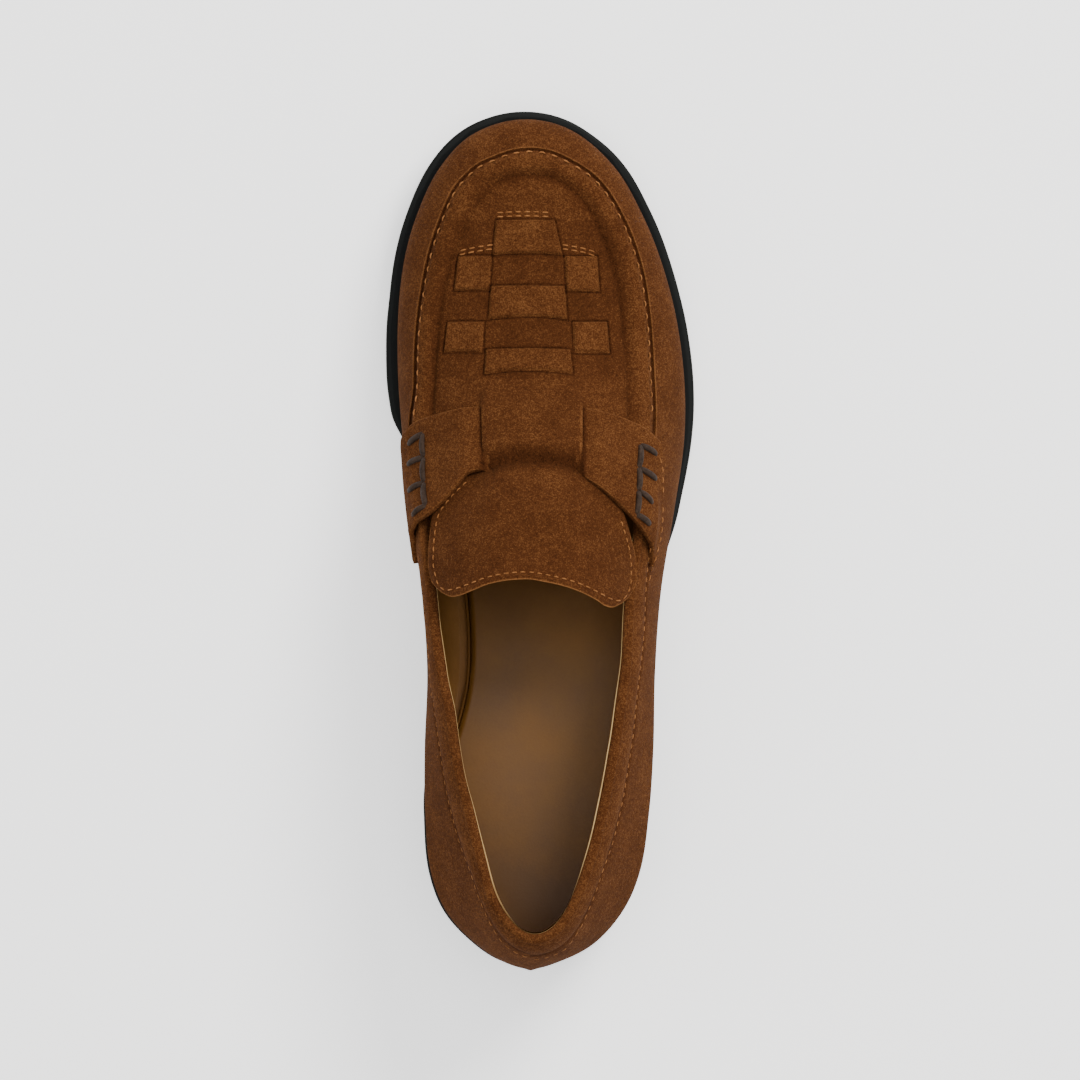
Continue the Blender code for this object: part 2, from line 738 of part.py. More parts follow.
def section_girths():
    # Closer together round the heel and the toe
    shares = [row / SECTION_COUNT for row in range(SECTION_COUNT + 1)]
    return [share - 0.30 * math.sin(2.0 * math.pi * share) / (2.0 * math.pi) for share in shares]


def ring_stations(count):
    # Heel, lateral side, toe, medial side
    ring = [("lateral", 0)]
    ring += [("lateral", row) for row in range(1, count)]
    ring += [("lateral", count)]
    ring += [("medial", row) for row in range(count - 1, 0, -1)]
    return ring


def ring_index(side, row, count):
    if row in (0, count) or side == "lateral":
        return row
    return 2 * count - row


def build_upper(skin, material):
    girths = section_girths()
    count = SECTION_COUNT
    ring = ring_stations(count)
    outside, inside = [], []
    for side, row in ring:
        wall = Wall(side, girths[row])
        levels = wall_outside(wall)
        outside += levels
        inside += wall_inside(wall, levels)
    levels = len(outside) // len(ring)
    faces = []
    for station in range(len(ring)):
        after = (station + 1) % len(ring)
        for level in range(levels - 1):
            near, far = station * levels + level, after * levels + level
            faces.append([near, far, far + 1, near + 1])
    throat = min(range(count), key=lambda row: abs(girths[row] - THROAT_GIRTH))
    rows = []
    for row in range(throat, count):
        left = ring_index("medial", row, count) * levels + levels - 1
        right = ring_index("lateral", row, count) * levels + levels - 1
        middle = []
        for column in range(1, LADDER_COLUMNS + 1):
            place = outside[left].lerp(outside[right], column / (LADDER_COLUMNS + 1))
            drop = SHELF_DROP + recess_under_tongue(place.y)
            over, under = skin.sheet(place.x, place.y, -drop, SHELF_THICKNESS)
            middle.append(len(outside))
            outside.append(over)
            inside.append(under)
        rows.append([left] + middle + [right])
    rows.append([ring_index("lateral", count, count) * levels + levels - 1])
    faces += ladder_faces(rows)
    points, closed = close_sheets(outside, inside, faces)
    return add_piece("upper", points, closed, material)


LUG_HALF_WIDTH = 0.0012
LUG_SLOPE = 0.0004
FOREFOOT_LUGS = (0.60, 0.66, 0.72, 0.78, 0.84, 0.90)
HEEL_LUGS = (0.055, 0.115, 0.175)
SOLE_SIDE_COLUMNS = ("inset", "from_top", "height")
SOLE_SIDE = (
    (0.0012, True, 0.0),
    (0.0003, True, -0.0004),
    (0.0, True, -0.0013),
    (0.0, True, -WELT_THICKNESS),
    (WELT_GROOVE, True, -WELT_THICKNESS - 0.0005),
    (WELT_GROOVE, True, -WELT_THICKNESS - 0.0014),
    (0.0004, True, -WELT_THICKNESS - 0.0018),
    (0.0004, False, 0.0016),
    (0.0016, False, 0.0),
)


def sole_rows():
    # Crosswise lines of the sole as places along the foot, with the lugs' own lines
    girths, points, _ = SIDES["lateral"]
    plain = [float(np.interp(girth, girths, points[:, 1])) for girth in section_girths()[1:-1:2]]
    rows = []
    for along in FOREFOOT_LUGS + HEEL_LUGS:
        middle = HEEL_Y + along * LAST_LENGTH
        for reach, deep in ((LUG_HALF_WIDTH, False), (LUG_HALF_WIDTH - LUG_SLOPE, True)):
            rows += [(middle - reach, deep), (middle + reach, deep)]
    rows += [(HEEL_Y + along * LAST_LENGTH, False) for along in (0.248, 0.262)]
    taken = [row[0] for row in rows]
    rows += [(y, False) for y in plain if min(abs(y - other) for other in taken) > 0.0028]
    return sorted(rows)


def sole_station(side, y):
    girth = girth_at(side, y)
    place, normal = side_point(side, girth)
    reach = SOLE_EDGE * margins(side, girth) - ARCH_TUCK * margins(side + "_tuck", girth)
    return place - normal * reach, normal


def build_outsole(material):
    rows = sole_rows()
    count = len(rows) + 1
    ring = ring_stations(count)
    ends = {0: HEEL_Y, count: HEEL_Y + LAST_LENGTH}
    points = []
    for side, row in ring:
        y = ends[row] if row in ends else rows[row - 1][0]
        place, normal = sole_station(side, y)
        for inset, from_top, height in SOLE_SIDE:
            plan = place + normal * inset
            level = sole_top(plan[1]) if from_top else sole_under(plan[1])
            points.append(Vector((plan[0], plan[1], level + height)))
    levels = len(SOLE_SIDE)
    faces = []
    for station in range(len(ring)):
        after = (station + 1) % len(ring)
        for level in range(levels - 1):
            near, far = station * levels + level, after * levels + level
            faces.append([near, near + 1, far + 1, far])

    def cap(level, place_middle):
        lines = [[ring_index("lateral", 0, count) * levels + level]]
        for row in range(1, count):
            left = ring_index("medial", row, count) * levels + level
            right = ring_index("lateral", row, count) * levels + level
            middle = place_middle(points[left], points[right], rows[row - 1][1])
            ids = list(range(len(points), len(points) + len(middle)))
            points.extend(middle)
            lines.append([left] + ids + [right])
        lines.append([ring_index("lateral", count, count) * levels + level])
        return ladder_faces(lines)

    def bed(left, right, deep):
        places = [left.lerp(right, share) for share in (0.25, 0.5, 0.75)]
        return [Vector((place.x, place.y, sole_top(place.y))) for place in places]

    def tread(left, right, deep):
        width = (right - left).length
        rim = min(LUG_RIM / width, 0.30)
        edge = min(LUG_SLOPE / width, 0.05)
        shares = (rim, rim + edge, 0.5, 1.0 - rim - edge, 1.0 - rim)
        made = []
        for index, share in enumerate(shares):
            place = left.lerp(right, share)
            cut = LUG_DEPTH if deep and 0 < index < len(shares) - 1 else 0.0
            made.append(Vector((place.x, place.y, sole_under(place.y) + cut)))
        return made

    faces += cap(0, bed)
    faces += [list(reversed(face)) for face in cap(levels - 1, tread)]
    return add_piece("outsole", points, [tuple(face) for face in faces], material)


def build_insole(material):
    girths = section_girths()
    count = SECTION_COUNT
    ring = ring_stations(count)
    seat = WALL_THICKNESS + SEAT_GAP
    crest = seat + INSOLE_THICKNESS
    points = []
    for side, row in ring:
        wall = Wall(side, girths[row])
        edge = wall.foot_in + WALL_THICKNESS + SEAT_GAP
        filler = wall.foot_in + LASTING_MARGIN + 2.0 * SEAT_GAP
        points += [
            wall.on_sole(edge + 0.0012, crest),
            wall.on_sole(edge, crest - 0.0006),
            wall.on_sole(edge, seat + 0.0002),
            wall.on_sole(edge + 0.0004, seat),
            wall.on_sole(filler, seat),
            wall.on_sole(filler + 0.0003, 0.0),
        ]
    levels = len(points) // len(ring)
    faces = []
    for station in range(len(ring)):
        after = (station + 1) % len(ring)
        for level in range(levels - 1):
            near, far = station * levels + level, after * levels + level
            faces.append([near, near + 1, far + 1, far])
    for level, height in ((0, crest), (levels - 1, 0.0)):
        lines = [[level]]
        for row in range(1, count):
            left = ring_index("medial", row, count) * levels + level
            right = ring_index("lateral", row, count) * levels + level
            ids = []
            for share in (0.25, 0.5, 0.75):
                place = points[left].lerp(points[right], share)
                ids.append(len(points))
                points.append(Vector((place.x, place.y, sole_top(place.y) + SEAT_GAP + height)))
            lines.append([left] + ids + [right])
        lines.append([ring_index("lateral", count, count) * levels + level])
        cap = ladder_faces(lines)
        faces += cap if level == 0 else [list(reversed(face)) for face in cap]
    return add_piece("insole", points, [tuple(face) for face in faces], material)


def grid_faces(rows, columns):
    faces = []
    for row in range(rows - 1):
        for column in range(columns - 1):
            here = row * columns + column
            faces.append([here, here + 1, here + columns + 1, here + columns])
    return faces


def build_saddle(body, material):
    # Columns run along the foot from the rear edge to the front edge
    reaches = [row[0] for row in SADDLE_EDGES]
    extra = [(reaches[i] + reaches[i + 1]) / 2.0 for i in (0, 3, 4, 5, 17, 18)]
    reaches = sorted(reaches + extra + [-0.15, 0.15])
    shares = (0.0, 0.17, 0.34, 0.5, 0.66, 0.83, 1.0)
    over, under = [], []
    for share_out in reaches:
        reach = share_out * SADDLE_REACH
        line = body.line(reach)
        rear = HEEL_Y + saddle_edges("rear", share_out) * LAST_LENGTH
        front = HEEL_Y + saddle_edges("front", share_out) * LAST_LENGTH
        for share in shares:
            y = mix(rear, front, share)
            lift = saddle_lift(reach, y)
            over.append(line(y, lift))
            under.append(line(y, lift - SADDLE_THICKNESS))
    faces = [list(reversed(face)) for face in grid_faces(len(reaches), len(shares))]
    points, closed = close_sheets(over, under, faces)
    return add_piece("saddle", points, closed, material)


def build_tongue(skin, material):
    columns = (0.0, 0.03, 0.07, 0.15, 0.27, 0.40, 0.5, 0.62, 0.75, 0.88, 0.94, 0.975, 1.0)
    rows = np.linspace(0.0, 1.0, 15)
    over, under = [], []
    for share in rows:
        for column in columns:
            rear = HEEL_Y + tongue_rear("along", column) * LAST_LENGTH
            y = mix(TONGUE_START, rear, share)
            along = along_at(y)
            left, right = (on_last(tongue_sides(side, along), along)[0] for side in ("medial", "lateral"))
            outer, inner = skin.sheet(mix(left, right, column), y, tongue_lift(y), TONGUE_THICKNESS)
            over.append(outer)
            under.append(inner)
    faces = [list(reversed(face)) for face in grid_faces(len(rows), len(columns))]
    points, closed = close_sheets(over, under, faces)
    return add_piece("tongue", points, closed, material)


SEAM_SPACING = 0.0046
ROLL_LOOPS = (0.0009, 0.0023, 0.0042, 0.0058, 0.0072, 0.0087)
FIELD_SPACING = 0.0075


def roll_lift(inward):
    # Puffed roll along the hand-sewn seam, with a soft crease inside it
    puff = smooth(inward, 0.0, 0.0022) * (1.0 - smooth(inward, 0.0040, ROLL_WIDTH - 0.0002))
    crease = smooth(inward, 0.0045, ROLL_WIDTH) * (1.0 - smooth(inward, ROLL_WIDTH, ROLL_WIDTH + 0.0015))
    return ROLL_HEIGHT * puff - ROLL_CREASE * crease


def seam_line(inward, spacing):
    # From the lateral end of the seam round the toe to the medial end
    points = []
    for side, stop in (("lateral", SEAM_STOPS["lateral"]), ("medial", SEAM_STOPS["medial"])):
        first = girth_at(side, stop)
        count = max(2, int((1.0 - first) * 0.30 / spacing))
        girths = np.linspace(first, 1.0, count)
        if side == "medial":
            girths = girths[-2::-1]
        for girth in girths:
            wall = Wall(side, girth)
            plan = wall.place + wall.normal * (wall.edge_in - APRON_EDGE + inward)
            points.append((float(plan[0]), float(plan[1])))
    return points


SEAM_STOPS = {"lateral": 0.0345, "medial": 0.0366}


def inside_loop(place, loop):
    x, y = place
    inside = False
    for (ax, ay), (bx, by) in zip(loop, loop[1:] + loop[:1]):
        if (ay > y) != (by > y) and x < ax + (y - ay) * (bx - ax) / (by - ay):
            inside = not inside
    return inside


def distance_to(place, line):
    # Distance in plan from a place to a run of straight pieces
    start = np.array(line[:-1])
    step = np.array(line[1:]) - start
    offset = np.array(place) - start
    share = np.clip((offset * step).sum(axis=1) / (step * step).sum(axis=1), 0.0, 1.0)
    return float(np.linalg.norm(offset - step * share[:, None], axis=1).min())


def ahead_of_saddle(body, share):
    # A place in plan one seat gap ahead of the saddle's front edge
    reach = share * SADDLE_REACH
    y = HEEL_Y + saddle_edges("front", share) * LAST_LENGTH
    place = body.line(reach)(y, saddle_lift(reach, y))
    return place.x, place.y + 2.0 * SEAT_GAP


def apron_outline(body):
    # Seam round the toe, then the saddle's front edge and the strap that crosses it
    seam = seam_line(0.0, SEAM_SPACING)
    rear = []
    for share in (-0.70, -0.659, -0.60, -0.548, -0.463, -0.385, -0.335):
        rear.append(ahead_of_saddle(body, share))
    strap = [0.0420, 0.0400, 0.0375, 0.0350, 0.0325, 0.0300, 0.0284, 0.0270, 0.0257, 0.0245, 0.0234, STRAP_END]
    left = [body.line(-STRAP_REACH)(y, 0.0) for y in strap]
    right = [body.line(STRAP_REACH)(y, 0.0) for y in strap]
    rear += [(place.x, place.y) for place in left]
    first, last = left[-1], right[-1]
    rear += [(mix(first.x, last.x, share), STRAP_END) for share in (0.2, 0.4, 0.6, 0.8)]
    rear += [(place.x, place.y) for place in reversed(right)]
    for share in (0.335, 0.361, 0.424, 0.522, 0.598, 0.65, 0.70):
        rear.append(ahead_of_saddle(body, share))
    return seam + rear, strap


def weave_loops():
    # Outer and inner loop of each raised length, corner by corner
    loops = []
    for front, rear, left_front, left_rear, right_front, right_rear in WEAVE:
        corners = [
            on_last(left_front, front),
            on_last(left_rear, rear),
            on_last(right_rear, rear),
            on_last(right_front, front),
        ]
        middle = sum(corners) / 4.0
        outer = []
        for index, corner in enumerate(corners):
            after = corners[(index + 1) % 4]
            outer += [corner, (corner + after) / 2.0]
        inner = []
        for corner in outer:
            away = corner - middle
            half_x = (right_front - left_front) * BALL_WIDTH / 2.0
            half_y = (front - rear) * LAST_LENGTH / 2.0
            inner.append(middle + away * np.array([1.0 - STRIP_BEVEL / half_x, 1.0 - STRIP_BEVEL / half_y]))
        loops.append((outer, inner))
    return loops


def build_apron(body, skin, material):
    outline, strap_rows = apron_outline(body)
    seam = seam_line(0.0, 0.0012)
    places = [tuple(place) for place in outline]
    edges = []
    boundary = list(range(len(places)))

    def add_line(points, closed):
        first = len(places)
        places.extend((float(point[0]), float(point[1])) for point in points)
        count = len(points)
        edges.extend((first + i, first + i + 1) for i in range(count - 1))
        if closed:
            edges.append((first + count - 1, first))

    def well_inside(point, margin):
        return inside_loop(point, outline) and distance_to(point, outline + outline[:1]) > margin

    for inward in ROLL_LOOPS:
        run = [point for point in seam_line(inward, SEAM_SPACING * 1.1) if well_inside(point, 0.0006)]
        add_line(run, False)
    loops = weave_loops()
    raised = []
    for outer, inner in loops:
        add_line(outer, True)
        add_line(inner, True)
        raised.append([(float(point[0]), float(point[1])) for point in inner])
    for y in strap_rows[:-1]:
        left, right = body.line(-STRAP_REACH)(y, 0.0).x, body.line(STRAP_REACH)(y, 0.0).x
        places.extend((mix(left, right, share), y) for share in (0.25, 0.5, 0.75))
    xs = np.arange(-0.045, 0.045, FIELD_SPACING)
    ys = np.arange(0.0440, 0.130, FIELD_SPACING)
    for x in xs:
        for y in ys:
            point = (float(x), float(y))
            if not well_inside(point, 0.004) or distance_to(point, seam) < ROLL_LOOPS[-1] + 0.003:
                continue
            near = [distance_to(point, [tuple(p) for p in outer] + [tuple(outer[0])]) for outer, _ in loops]
            if min(near) > 0.0030:
                places.append(point)
    flat = [Vector(place) for place in places]
    made = delaunay_2d_cdt(flat, edges, [boundary], 1, 1e-6)
    corners, faces = made[0], made[2]

    def lift_at(x, y):
        lift = roll_lift(distance_to((x, y), seam))
        for loop in raised:
            if inside_loop((x, y), loop) or distance_to((x, y), loop + loop[:1]) < 1e-6:
                lift += STRIP_RAISE
        beside = abs(x - STRAP_CENTRE) - STRAP_WIDTH / 2.0
        return lift + strap_lift(y) * (1.0 - smooth(beside, 0.0005, 0.0040))

    over, under = [], []
    for corner in corners:
        x, y = corner
        lift = lift_at(x, y)
        over.append(Vector((x, y, skin.height(x, y) + lift * skin.steepness(x, y))))
        beside = abs(x - STRAP_CENTRE) - STRAP_WIDTH / 2.0
        base = strap_lift(y) * (1.0 - smooth(beside, 0.0005, 0.0040)) - APRON_THICKNESS
        under.append(Vector((x, y, skin.height(x, y) + base * skin.steepness(x, y))))
    points, closed = close_sheets(over, under, [list(face) for face in faces])
    return add_piece("apron", points, closed, material)


def stand_on_origin(pieces):
    # The ground centre of the whole box becomes the origin
    corners = np.array([corner.co for piece in pieces for corner in piece.data.vertices])
    low = corners.min(axis=0)
    high = corners.max(axis=0)
    shift = Vector((-(low[0] + high[0]) / 2.0, -(low[1] + high[1]) / 2.0, -low[2]))
    for piece in pieces:
        for corner in piece.data.vertices:
            corner.co += shift


def main():
    for old in list(bpy.data.objects):
        bpy.data.objects.remove(old, do_unlink=True)
    suede = leather("brown_suede", (0.19, 0.075, 0.022), 0.95)
    rubber = leather("black_rubber", (0.018, 0.020, 0.019), 0.55)
    lining = leather("tan_leather", (0.20, 0.115, 0.055), 0.6)
    body = Body()
    skin = TopSkin()
    pieces = [build_outsole(rubber), build_insole(lining), build_upper(skin, suede)]
    pieces += [build_apron(body, skin, suede), build_saddle(body, suede), build_tongue(skin, suede)]
    stand_on_origin(pieces)


main()
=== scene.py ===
import math

import bpy
import numpy as np
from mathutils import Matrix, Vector
from mathutils.bvhtree import BVHTree


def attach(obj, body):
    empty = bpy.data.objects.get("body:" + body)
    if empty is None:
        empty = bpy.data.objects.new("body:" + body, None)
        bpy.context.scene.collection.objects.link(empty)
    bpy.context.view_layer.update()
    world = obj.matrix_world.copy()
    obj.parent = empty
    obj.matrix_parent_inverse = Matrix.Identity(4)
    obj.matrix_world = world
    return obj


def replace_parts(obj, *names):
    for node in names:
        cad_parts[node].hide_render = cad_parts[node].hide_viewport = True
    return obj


# Right suede loafer seen from straight above, toe along +Y, outer side at +X, metres.
# Girth runs along each side of the outline, from 0 at the heel to 1 at the toe.
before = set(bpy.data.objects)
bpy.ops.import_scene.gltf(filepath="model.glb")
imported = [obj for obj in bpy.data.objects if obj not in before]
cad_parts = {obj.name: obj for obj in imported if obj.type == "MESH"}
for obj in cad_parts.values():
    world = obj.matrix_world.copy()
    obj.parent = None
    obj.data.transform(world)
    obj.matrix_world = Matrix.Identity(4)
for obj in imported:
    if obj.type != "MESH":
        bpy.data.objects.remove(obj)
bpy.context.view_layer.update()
mm = 0.001

# The foot form, in metres; widthBlend is where the heel's width passes into the ball's
last = {
    "length": 0.2644,
    "ballWidth": 0.0895,
    "heelWidth": 0.0713,
    "widthBlend": (0.38, 0.62),
    "archTuck": 0.0105,
    "heelY": -0.133323,
}

# Heel block, forefoot thickness, spring of the toe and the edge that stands out past the upper
sole = {
    "heelHeight": 0.026,
    "forefoot": 0.011,
    "toeSpring": 0.008,
    "archRise": 0.0145,
    "edge": 0.0026,
    "welt": 0.0036,
    "groove": 0.0010,
}

# Suede thickness and the way the walls bulge, roll over and meet the seat
wallSizes = {
    "thickness": 0.0022,
    "roll": 0.0034,
    "seamEdge": 0.0017,
    "collarToSeam": (0.49, 0.55),
    "seatGap": 0.0003,
    "bulge": 0.018,
    "apronEdge": 0.0006,
}

# Inset and height of the wall's edge in each of its three zones
zoneSizes = {
    "collar": {"edgeIn": 0.0177, "edgeUp": 0.056},
    "vamp": {"edgeIn": 0.0104, "edgeUp": 0.060},
    "toe": {"edgeIn": 0.0104, "edgeUp": 0.019},
}

lateralOutline = (
    (0.000, -0.041), (0.010, 0.098), (0.030, 0.237), (0.069, 0.364), (0.116, 0.438),
    (0.186, 0.477), (0.257, 0.495), (0.351, 0.503), (0.445, 0.506), (0.539, 0.494),
    (0.621, 0.502), (0.692, 0.503), (0.774, 0.470), (0.844, 0.411), (0.891, 0.352),
    (0.938, 0.273), (0.976, 0.161), (0.994, 0.061), (1.000, -0.050),
)
medialOutline = (
    (0.010, -0.172), (0.035, -0.303), (0.069, -0.412), (0.116, -0.477), (0.186, -0.501),
    (0.257, -0.503), (0.351, -0.492), (0.445, -0.494), (0.539, -0.475), (0.633, -0.481),
    (0.715, -0.496), (0.786, -0.491), (0.844, -0.467), (0.891, -0.425), (0.938, -0.359),
    (0.976, -0.262), (0.994, -0.158),
)

wallColumns = ("girth", "zone", "edgeIn", "edgeUp", "footIn", "wideUp", "lean")
lateralWall = (
    (0.000, "collar", 0.580, 1.000, 0.21, 1.00, 2.4),
    (0.035, "collar", 0.500, 0.995, 0.21, 1.00, 2.2),
    (0.060, "collar", 0.710, 0.985, 0.21, 1.00, 1.6),
    (0.100, "collar", 0.910, 0.965, 0.21, 1.00, 1.15),
    (0.150, "collar", 1.000, 0.930, 0.21, 1.00, 1.0),
    (0.200, "collar", 0.940, 0.890, 0.23, 1.00, 1.0),
    (0.260, "collar", 0.835, 0.845, 0.28, 0.95, 1.05),
    (0.320, "collar", 0.710, 0.810, 0.36, 0.90, 1.2),
    (0.380, "collar", 0.610, 0.790, 0.40, 0.88, 1.6),
    (0.440, "collar", 0.635, 0.795, 0.38, 0.85, 1.7),
    (0.500, "collar", 0.640, 0.790, 0.30, 0.80, 1.8),
    (0.555, "vamp", 1.050, 0.690, 0.24, 0.74, 1.8),
    (0.600, "vamp", 1.010, 0.600, 0.20, 0.68, 1.8),
    (0.660, "vamp", 1.020, 0.510, 0.18, 0.62, 1.8),
    (0.730, "vamp", 0.885, 0.435, 0.16, 0.55, 1.8),
    (0.790, "toe", 0.710, 1.220, 0.14, 0.48, 1.9),
    (0.840, "toe", 0.655, 1.130, 0.13, 0.44, 2.0),
    (0.890, "toe", 0.710, 1.060, 0.12, 0.41, 2.0),
    (0.940, "toe", 0.900, 1.020, 0.12, 0.39, 2.0),
    (1.000, "toe", 1.000, 1.000, 0.12, 0.38, 2.0),
)
medialWall = (
    (0.000, "collar", 0.580, 1.000, 0.21, 1.00, 2.4),
    (0.035, "collar", 0.640, 0.995, 0.21, 1.00, 2.0),
    (0.060, "collar", 0.735, 0.985, 0.21, 1.00, 1.5),
    (0.100, "collar", 0.910, 0.965, 0.21, 1.00, 1.1),
    (0.150, "collar", 1.010, 0.930, 0.21, 1.00, 0.95),
    (0.200, "collar", 0.920, 0.890, 0.23, 1.00, 1.05),
    (0.260, "collar", 0.700, 0.850, 0.35, 1.00, 1.35),
    (0.320, "collar", 0.520, 0.820, 0.75, 0.95, 2.0),
    (0.360, "collar", 0.355, 0.805, 0.93, 0.92, 2.8),
    (0.420, "collar", 0.270, 0.795, 1.00, 0.90, 3.0),
    (0.480, "collar", 0.270, 0.780, 1.00, 0.88, 2.6),
    (0.520, "collar", 0.260, 0.700, 0.95, 0.82, 2.3),
    (0.560, "vamp", 0.380, 0.560, 0.80, 0.75, 2.0),
    (0.610, "vamp", 0.350, 0.440, 0.45, 0.65, 1.9),
    (0.660, "vamp", 0.585, 0.430, 0.25, 0.58, 1.8),
    (0.707, "vamp", 0.650, 0.410, 0.18, 0.54, 1.8),
    (0.742, "toe", 0.710, 1.250, 0.15, 0.50, 1.9),
    (0.790, "toe", 0.770, 1.170, 0.13, 0.46, 2.0),
    (0.840, "toe", 0.790, 1.100, 0.12, 0.43, 2.0),
    (0.875, "toe", 0.790, 1.060, 0.12, 0.41, 2.0),
    (0.911, "toe", 0.880, 1.030, 0.12, 0.40, 2.0),
    (0.955, "toe", 1.020, 1.010, 0.12, 0.39, 2.0),
    (1.000, "toe", 1.000, 1.000, 0.12, 0.38, 2.0),
)
topColumns = ("girth", "zone", "edgeUp")
topRows = (
    (0.440, "vamp", 1.130), (0.480, "vamp", 1.070), (0.520, "vamp", 1.020), (0.560, "vamp", 0.955),
    (0.610, "vamp", 0.842), (0.660, "vamp", 0.725), (0.700, "vamp", 0.635), (0.730, "vamp", 0.585),
    (0.770, "vamp", 0.533), (0.800, "toe", 1.560), (0.838, "toe", 1.420), (0.868, "toe", 1.320),
    (0.900, "toe", 1.200), (0.955, "toe", 1.070), (1.000, "toe", 1.000),
)
soleColumns = ("along", "pitch", "spring", "arch")
soleRows = (
    (0.000, 1.00, 0.00, 0.00), (0.200, 1.00, 0.00, 0.00), (0.248, 0.99, 0.00, 0.00),
    (0.262, 0.98, 0.00, 1.00),
    (0.300, 0.94, 0.00, 0.98), (0.360, 0.81, 0.00, 0.87), (0.440, 0.54, 0.00, 0.59),
    (0.520, 0.25, 0.00, 0.26),
    (0.580, 0.09, 0.00, 0.07), (0.625, 0.02, 0.00, 0.00), (0.680, 0.00, 0.00, 0.00),
    (0.740, 0.00, 0.00, 0.00),
    (0.800, 0.00, 0.09, 0.00), (0.860, 0.00, 0.28, 0.00), (0.930, 0.00, 0.61, 0.00),
    (1.000, 0.00, 1.00, 0.00),
)
marginColumns = ("girth", "lateral", "medial", "lateralTuck", "medialTuck")
marginRows = (
    (0.000, 0.00, 0.00, 0.08, 0.08), (0.050, 0.00, 0.08, 0.08, 0.00), (0.130, 0.00, 0.17, 0.08, 0.00),
    (0.217, 0.00, 0.06, 0.08, 0.00), (0.270, 0.00, 0.00, 0.10, 0.12), (0.330, 0.00, 0.00, 0.16, 0.52),
    (0.400, 0.00, 0.00, 0.20, 0.80), (0.466, 0.04, 0.00, 0.12, 0.80), (0.530, 0.42, 0.00, 0.00, 0.62),
    (0.590, 0.72, 0.10, 0.00, 0.20), (0.633, 0.92, 1.00, 0.00, 0.00), (0.670, 0.98, 1.27, 0.00, 0.00),
    (0.715, 0.96, 1.24, 0.00, 0.00), (0.755, 0.90, 1.08, 0.00, 0.00), (0.840, 0.96, 1.10, 0.00, 0.00),
    (0.900, 0.95, 1.12, 0.00, 0.00), (0.940, 0.78, 0.98, 0.00, 0.00), (1.000, 0.84, 0.84, 0.00, 0.00),
)
# Inset of the collar band's stitched seam from the silhouette, in millimetres
bandRows = {
    "lateral": (
        (0.000, 3.4), (0.015, 2.9), (0.030, 3.0), (0.050, 4.5), (0.073, 6.9), (0.096, 9.4), (0.119, 10.7),
        (0.148, 11.4), (0.175, 10.8), (0.203, 9.5), (0.228, 8.7), (0.259, 7.9), (0.298, 6.5), (0.343, 5.4),
        (0.379, 4.6), (0.403, 4.0), (0.433, 4.6), (0.460, 5.3), (0.520, 5.6),
    ),
    "medial": (
        (0.000, 3.4), (0.007, 4.1), (0.026, 4.7), (0.046, 5.9), (0.070, 8.5), (0.096, 11.0), (0.124, 11.9),
        (0.149, 12.1), (0.174, 10.5), (0.202, 9.0), (0.222, 7.5), (0.264, 5.8), (0.282, 4.8), (0.304, 3.7),
        (0.325, 2.4), (0.349, 1.1), (0.400, 0.5), (0.520, 0.4),
    ),
}


def smooth(value, low, high):
    share = np.clip((np.asarray(value, float) - low) / (high - low), 0.0, 1.0)
    return share * share * (3.0 - 2.0 * share)


def mix(first, second, share):
    return first + (second - first) * share


def bell(value, middle, width):
    return np.exp(-(((np.asarray(value, float) - middle) / width) ** 2))


def lengthsAlong(line):
    steps = np.linalg.norm(np.diff(line, axis=0), axis=1)
    return np.concatenate([[0.0], np.cumsum(steps)])


def curveThrough(knots, values, at):
    # Cubic through the rows with slopes that never overshoot
    knots, values = np.asarray(knots, float), np.asarray(values, float)
    steps = np.diff(knots)
    slopes = np.diff(values) / steps
    tangents = np.zeros(len(knots))
    tangents[0], tangents[-1] = slopes[0], slopes[-1]
    for row in range(1, len(knots) - 1):
        if slopes[row - 1] * slopes[row] > 0.0:
            before = 2.0 * steps[row] + steps[row - 1]
            after = steps[row] + 2.0 * steps[row - 1]
            tangents[row] = (before + after) / (before / slopes[row - 1] + after / slopes[row])
    place = np.clip(at, knots[0], knots[-1])
    row = np.minimum(np.searchsorted(knots, place, side="right") - 1, len(knots) - 2)
    share = (place - knots[row]) / steps[row]
    square, cube = share**2, share**3
    return (
        (2 * cube - 3 * square + 1) * values[row]
        + (cube - 2 * square + share) * steps[row] * tangents[row]
        + (3 * square - 2 * cube) * values[row + 1]
        + (cube - square) * steps[row] * tangents[row + 1]
    )


def table(columns, rows):
    keys = [row[0] for row in rows]
    lists = {}
    for index, name in enumerate(columns[1:], start=1):
        if name == "zone":
            continue
        scale = [1.0] * len(rows)
        if "zone" in columns and name in zoneSizes["toe"]:
            scale = [zoneSizes[row[columns.index("zone")]][name] for row in rows]
        lists[name] = [row[index] * size for row, size in zip(rows, scale)]
    return lambda name, at: curveThrough(keys, lists[name], at)


soleLine = table(soleColumns, soleRows)
margins = table(marginColumns, marginRows)
topLine = table(topColumns, topRows)
walls = {"lateral": table(wallColumns, lateralWall), "medial": table(wallColumns, medialWall)}
bands = {side: table(("girth", "inset"), rows) for side, rows in bandRows.items()}


def alongAt(y):
    return (y - last["heelY"]) / last["length"]


def soleTop(y):
    along = alongAt(y)
    drop = sole["heelHeight"] - sole["forefoot"]
    return sole["forefoot"] + drop * soleLine("pitch", along) + sole["toeSpring"] * soleLine("spring", along)


def soleUnder(y):
    along = alongAt(y)
    return sole["archRise"] * soleLine("arch", along) + sole["toeSpring"] * soleLine("spring", along)


def onLast(across, along):
    width = mix(last["heelWidth"], last["ballWidth"], smooth(along, *last["widthBlend"]))
    return np.array([across * width - 0.000008, last["heelY"] + along * last["length"]])


